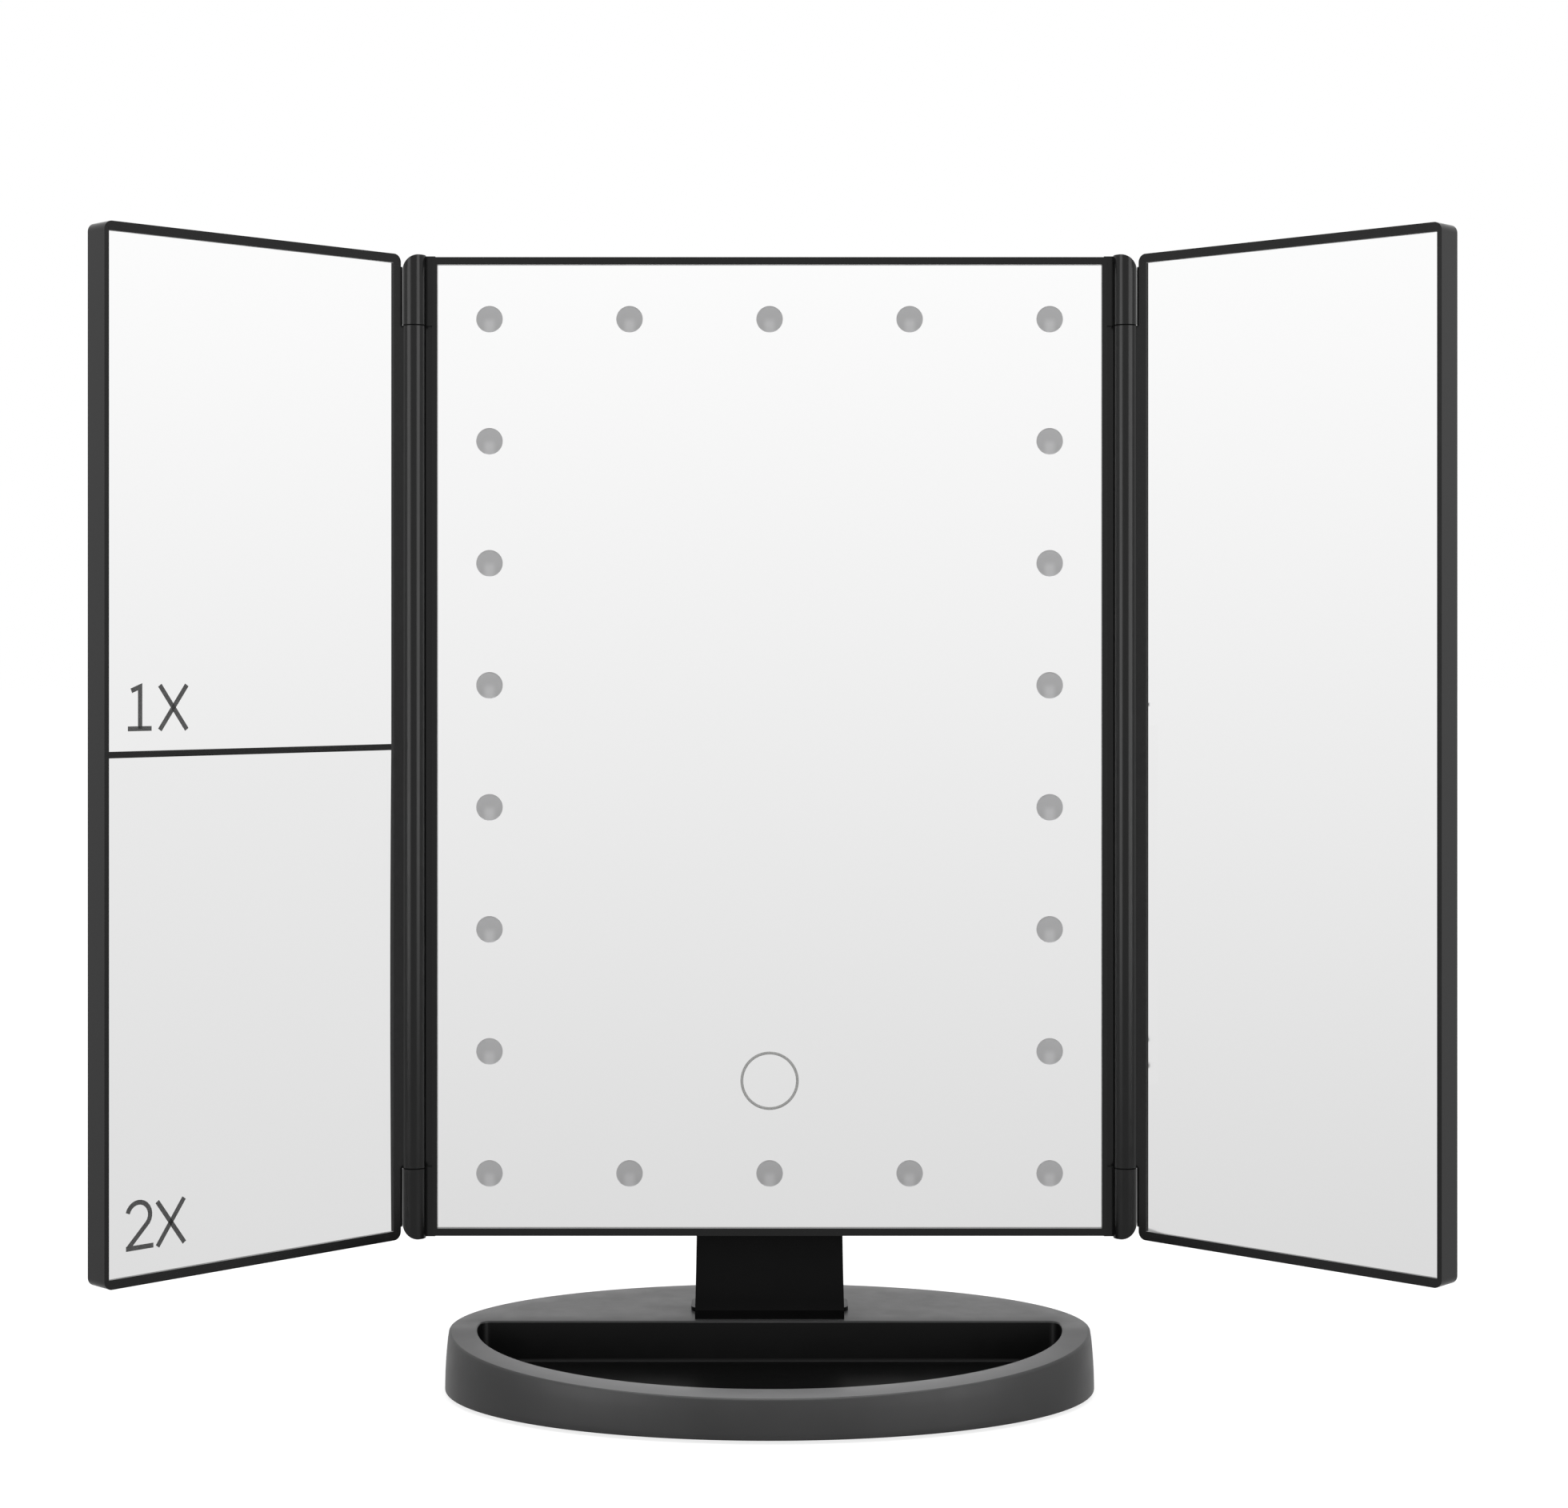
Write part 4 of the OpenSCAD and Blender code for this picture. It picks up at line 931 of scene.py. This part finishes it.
def make_mark(name, strokes, corner, node):
    """Printed strokes on a mirror of the left wing; their right is the wing's -X."""
    box = wing_box(node, "left")
    dished = node == "left_mirror_lower"
    bm = bmesh.new()
    for stroke in strokes:
        rows = []
        for proud in (MARK_T, -MARK_T):
            for side in stroke_sides(stroke, MARK_LINE / 2 / MM):
                row = []
                for point in side:
                    x = corner[0] - point.x * MM
                    z = corner[1] + point.y * MM
                    y = box[0].y + (dish_depth(x, z, box) if dished else 0)
                    row.append(bm.verts.new((x, y - proud, z)))
                rows.append(row)
        front_left, front_right, back_left, back_right = rows
        for i in range(len(stroke) - 1):
            for one, other in ((front_left, front_right), (front_right, back_right),
                               (back_right, back_left), (back_left, front_left)):
                bm.faces.new((one[i], one[i + 1], other[i + 1], other[i]))
        for end in (0, -1):
            bm.faces.new((front_left[end], front_right[end], back_right[end], back_left[end]))
    bmesh.ops.transform(bm, matrix=wing_place("left"), verts=bm.verts)
    finished(name, bm, "left_wing", [MARK])


def make_windows():
    """The frosted discs over the lights, each a little domed."""
    node = "light_windows"
    boxes = [box_of(points) for points in loose_solids(node)]
    bm = bmesh.new()
    for low, high in boxes:
        radius = (high.x - low.x) / 2
        depth = high.y - low.y
        profile = [(0, 0)] + [(radius * k, -depth / 2 * k ** 4) for k in (0.3, 0.55, 0.75, 0.9, 1)]
        profile += [(radius, -depth), (0, -depth)]
        middle = Vector(((low.x + high.x) / 2, low.y, (low.z + high.z) / 2))
        place = Matrix.Translation(middle) @ Matrix.Rotation(math.radians(90), 4, "X")
        add_solid(bm, lambda part: turned(part, profile, steps=40), place)
    layer = bm.loops.layers.uv.new("disc")
    for face in bm.faces:
        middle = face.calc_center_median()
        low, high = next(box for box in boxes if box[0].x < middle.x < box[1].x
                         and box[0].z < middle.z < box[1].z)
        for loop in face.loops:
            loop[layer].uv = ((2 * loop.vert.co.x - low.x - high.x) / (high.x - low.x),
                              (2 * loop.vert.co.z - low.z - high.z) / (high.z - low.z))
    finished("frosted_windows", bm, "head", [FROST], replaces=[node])


def make_touch_ring():
    """The ring round the touch switch: a flat line with soft edges, just proud of the glass."""
    node = "touch_mark"
    low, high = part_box(node)
    radius = (high.x - low.x) / 2
    line = 0.7 * MM
    depth = high.y - low.y
    proud = 0.1 * depth
    soft = [(0.0, 0.0), (0.1, proud), (0.9, proud), (1.0, 0.0), (1.0, -depth), (0.0, -depth)]
    bm = bmesh.new()
    turned_ring(bm, [(radius - line * share, height) for share, height in soft], 72)
    middle = Vector(((low.x + high.x) / 2, low.y, (low.z + high.z) / 2))
    place = Matrix.Translation(middle) @ Matrix.Rotation(math.radians(90), 4, "X")
    bmesh.ops.transform(bm, matrix=place, verts=bm.verts)
    finished("touch_ring", bm, "head", [RING], replaces=[node])


# ---- screws, cells and contacts ----

SMALL_HEAD_T = 0.8 * MM
SMALL_THREAD_R = 1.1 * MM
LARGE_HEAD_T = 1.4 * MM
LARGE_THREAD_R = 1.5 * MM


def pan_head_screw(bm, head_r, head_t, thread_r, length):
    """Its head's outer face at 0 and its thread below, with a cross recess and a cut thread."""
    pitch = 0.9 * MM
    profile = [(head_r * 0.6, 0), (head_r * 0.85, -head_t * 0.15), (head_r * 0.97, -head_t * 0.4),
               (head_r, -head_t * 0.65), (head_r, -head_t), (thread_r, -head_t)]
    depth = head_t
    while depth + pitch < length - pitch:
        profile += [(thread_r * 0.82, -depth - pitch / 2), (thread_r, -depth - pitch)]
        depth += pitch
    profile += [(thread_r * 0.6, -length), (0, -length)]
    top = turned(bm, profile, steps=36)[0]
    arm, half = head_r * 0.5, head_r * 0.15
    cross = [(arm, -half), (arm, half), (half, half), (half, arm), (-half, arm), (-half, half),
             (-arm, half), (-arm, -half), (-half, -half), (-half, -arm), (half, -arm), (half, -half)]
    lip = ring(bm, [(x, y, 0) for x, y in cross])
    floor = ring(bm, [(x * 0.8, y * 0.8, -head_t * 0.6) for x, y in cross])
    bridge(bm, lip, floor)
    bm.faces.new(floor)
    fill_between(bm, top, lip, lambda y: 0)


def make_screws(node, outwards, head_t, thread_r):
    """Screws in the places of a CAD node's, their heads facing outwards."""
    outwards = Vector(outwards)
    turn = Vector((0, 0, 1)).rotation_difference(outwards).to_matrix().to_4x4()
    bm = bmesh.new()
    for points in loose_solids(node):
        low, high = box_of(points)
        length = abs((high - low).dot(outwards))
        head_r = (high.x - low.x) / 2
        place = Matrix.Translation((low + high) / 2 + outwards * length / 2) @ turn
        add_solid(bm, lambda part: pan_head_screw(part, head_r, head_t, thread_r, length), place)
    finished(node + "_cut", bm, NODES[node]["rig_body"], [STEEL], sharp=35, replaces=[node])


def end_ways(points):
    """1 where a cell's or a contact's narrow end is up, -1 where it is down."""
    low, high = box_of(points)
    middle = (low + high) / 2
    reach = {}
    for way in (1, -1):
        end = high.z if way > 0 else low.z
        reach[way] = max(math.hypot(p.x - middle.x, p.y - middle.y) for p in points
                         if abs(p.z - end) < 0.01 * MM)
    return 1 if reach[1] < reach[-1] else -1


def make_cells():
    """Cells: a printed sleeve drawn in over steel ends, a seal and a button."""
    node = "batteries"
    bm = bmesh.new()
    for points in loose_solids(node):
        low, high = box_of(points)
        r = (high.x - low.x) / 2
        half = (high.z - low.z) / 2
        top = half - 1.0 * MM
        profile = [(0, 0.15 * MM - half), (r * 0.8, 0.15 * MM - half), (r * 0.83, -half),
                   (r * 0.93, -half), (r, 0.5 * MM - half), (r, top - 0.5 * MM), (r * 0.93, top),
                   (r * 0.72, top), (r * 0.7, top - 0.2 * MM), (r * 0.4, top - 0.2 * MM),
                   (r * 0.36, half - 0.25 * MM), (r * 0.3, half), (0, half)]
        turn = Matrix.Rotation(0 if end_ways(points) > 0 else math.pi, 4, "X")
        place = Matrix.Translation((low + high) / 2) @ turn
        add_solid(bm, lambda part: turned(part, profile, steps=40, second=(0, 1, 8, 9, 10, 11)), place)
    finished("cells", bm, "head", [SLEEVE, STEEL], replaces=[node])


def contact(bm, half, room, coiled):
    """A contact plate at the bottom with its edges turned in, and a coil or a dimple on it."""
    plate = 0.4 * MM
    soft = 0.1 * MM
    loops = [(half - soft, 0), (half, soft), (half, plate - soft), (half - soft, plate)]
    rings = [[(x * r, y * r, z) for x, y in ((1, 1), (-1, 1), (-1, -1), (1, -1))] for r, z in loops]
    first, last = loft(bm, rings)
    bm.faces.new(first)
    bm.faces.new(last)
    if coiled:
        turns, steps, wire = 3, 20, 0.22 * MM
        wide, narrow = 2.45 * MM, 1.7 * MM
        path = []
        for i in range(turns * steps + 1):
            share = i / (turns * steps)
            r = wide + (narrow - wide) * share
            angle = math.tau * turns * share
            height = plate + (room - plate - 2 * wire) * share + wire
            path.append(Vector((r * math.cos(angle), r * math.sin(angle), height)))
        tube(bm, path, wire, sides=8)
    else:
        dome = [(0, plate / 2), (1.9 * MM, plate / 2), (1.9 * MM, plate), (1.6 * MM, room * 0.75),
                (1.1 * MM, room * 0.96), (0, room)]
        turned(bm, dome, steps=28)


def make_contacts():
    """Both ends' contacts: coils at the cells' flat ends, dimples at their buttons."""
    node = "battery_contacts"
    coil_tip = 4.5 * MM         # a wider tip than this is a coil's
    bm = bmesh.new()
    for points in loose_solids(node):
        low, high = box_of(points)
        way = end_ways(points)
        end = high.z if way > 0 else low.z
        tip_low, tip_high = box_of([p for p in points if abs(p.z - end) < 0.01 * MM])
        coiled = tip_high.x - tip_low.x > coil_tip
        middle = (low + high) / 2
        turn = Matrix.Rotation(0 if way > 0 else math.pi, 4, "X")
        place = Matrix.Translation((middle.x, middle.y, low.z if way > 0 else high.z)) @ turn
        add_solid(bm, lambda part: contact(part, (high.x - low.x) / 2, high.z - low.z, coiled), place)
    finished("coil_contacts", bm, "head", [STEEL], replaces=[node])


# ---- switch and socket ----

def make_switch_knob():
    """The slide switch's knob, with ridges for the finger."""
    node = "switch_knob"
    low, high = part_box(node)
    ridges, depth = 4, 0.35 * MM
    pitch = (high.x - low.x) / ridges
    outline = [(low.x, low.y), (low.x, high.y - depth)]
    for i in range(ridges):
        start = low.x + i * pitch
        outline += [(start + pitch * 0.25, high.y), (start + pitch * 0.7, high.y)]
        outline.append((start + pitch, high.y - depth))
    outline.append((high.x, low.y))
    bm = bmesh.new()
    first, last = loft(bm, [[(x, y, z) for x, y in outline] for z in (low.z, high.z)])
    bm.faces.new(first)
    bm.faces.new(last)
    obj = finished("ridged_knob", bm, "power_switch", [KNOB], replaces=[node])
    round_edges(obj, 0.12 * MM, 2)


def make_socket_tongue():
    """The contact tongue inside the power socket, with its five contacts."""
    low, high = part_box("power_socket")
    middle = (low + high) / 2
    half_w, half_h = 3.1 * MM, 0.45 * MM
    count, pitch, strip_half, strip_t = 5, 1.1 * MM, 0.25 * MM, 0.08 * MM
    mouth = high.y - 0.6 * MM
    bm = bmesh.new()
    profile = [(-half_w, -half_h), (half_w, -half_h), (half_w, half_h), (-half_w, half_h)]
    rows = [[(middle.x + x * k, y, middle.z + z * k) for x, z in profile]
            for y, k in ((low.y + 0.5 * MM, 1), (mouth - 0.3 * MM, 1), (mouth, 0.85))]
    first, last = loft(bm, rows)
    bm.faces.new(first)
    bm.faces.new(last)
    for i in range(count):
        x = middle.x + (i - (count - 1) / 2) * pitch
        strip = [(x - strip_half, -1), (x + strip_half, -1), (x + strip_half, 1), (x - strip_half, 1)]
        rows = [[(px, y, middle.z - half_h + side * strip_t) for px, side in strip]
                for y in (low.y + 1.2 * MM, mouth - 0.6 * MM)]
        first, last = loft(bm, rows)
        faces = [bm.faces.new(first), bm.faces.new(last)] + list(first[0].link_faces)
        for face in set(faces) | set(first[2].link_faces):
            face.material_index = 1
    finished("socket_tongue", bm, "head", [CHIP, COPPER])


# ---- build ----

# Each node that gets a rounded copy: the edges' width in millimetres, and whether the larger
# faces are cut into triangles first, which keeps the faces with holes flat
ROUNDED = {
    "neck_shell": (0.6, False), "base_cover": (0.4, False), "neck_cover": (0.3, False),
    "tilt_pin": (0.3, False), "tilt_washers": (0.12, False), "foot_ring": (0.5, False),
    "centre_frame": (0.35, True), "back_cover": (0.5, True), "battery_door": (0.35, True),
    "tilt_nut": (0.25, True), "power_socket": (0.12, True), "left_frame": (0.4, True),
    "right_frame": (0.4, True), "left_back": (0.3, True), "right_back": (0.3, True),
    "left_divider": (0.2, True),
}
# The photograph's two wing mirrors show no frame
UNMIRRORED = ("left_frame", "right_frame", "left_back", "right_back", "left_divider")

dress_nodes()
make_studio()
make_base_shell()
for node, (width, in_triangles) in ROUNDED.items():
    shell = rounded_copy(node, width * MM, NODE_MATERIALS[node], in_triangles)
    shell.visible_glossy = node not in UNMIRRORED
make_hinge_trim("left")
make_hinge_trim("right")
make_dished_mirror()
make_mark("mark_once", ONE + TIMES, (79.9 * MM, 163.0 * MM), "left_mirror_upper")
make_mark("mark_twice", TWO + TIMES, (80.4 * MM, 45.4 * MM), "left_mirror_lower")
make_windows()
make_touch_ring()
make_screws("cover_screws", (0, 1, 0), SMALL_HEAD_T, SMALL_THREAD_R)
make_screws("neck_cover_screws", (0, 1, 0), SMALL_HEAD_T, SMALL_THREAD_R)
make_screws("base_screws", (0, 0, -1), LARGE_HEAD_T, LARGE_THREAD_R)
make_screws("weight_screws", (0, 0, -1), LARGE_HEAD_T, LARGE_THREAD_R)
make_screws("neck_screws", (0, 0, -1), LARGE_HEAD_T, LARGE_THREAD_R)
make_cells()
make_contacts()
make_switch_knob()
make_socket_tongue()
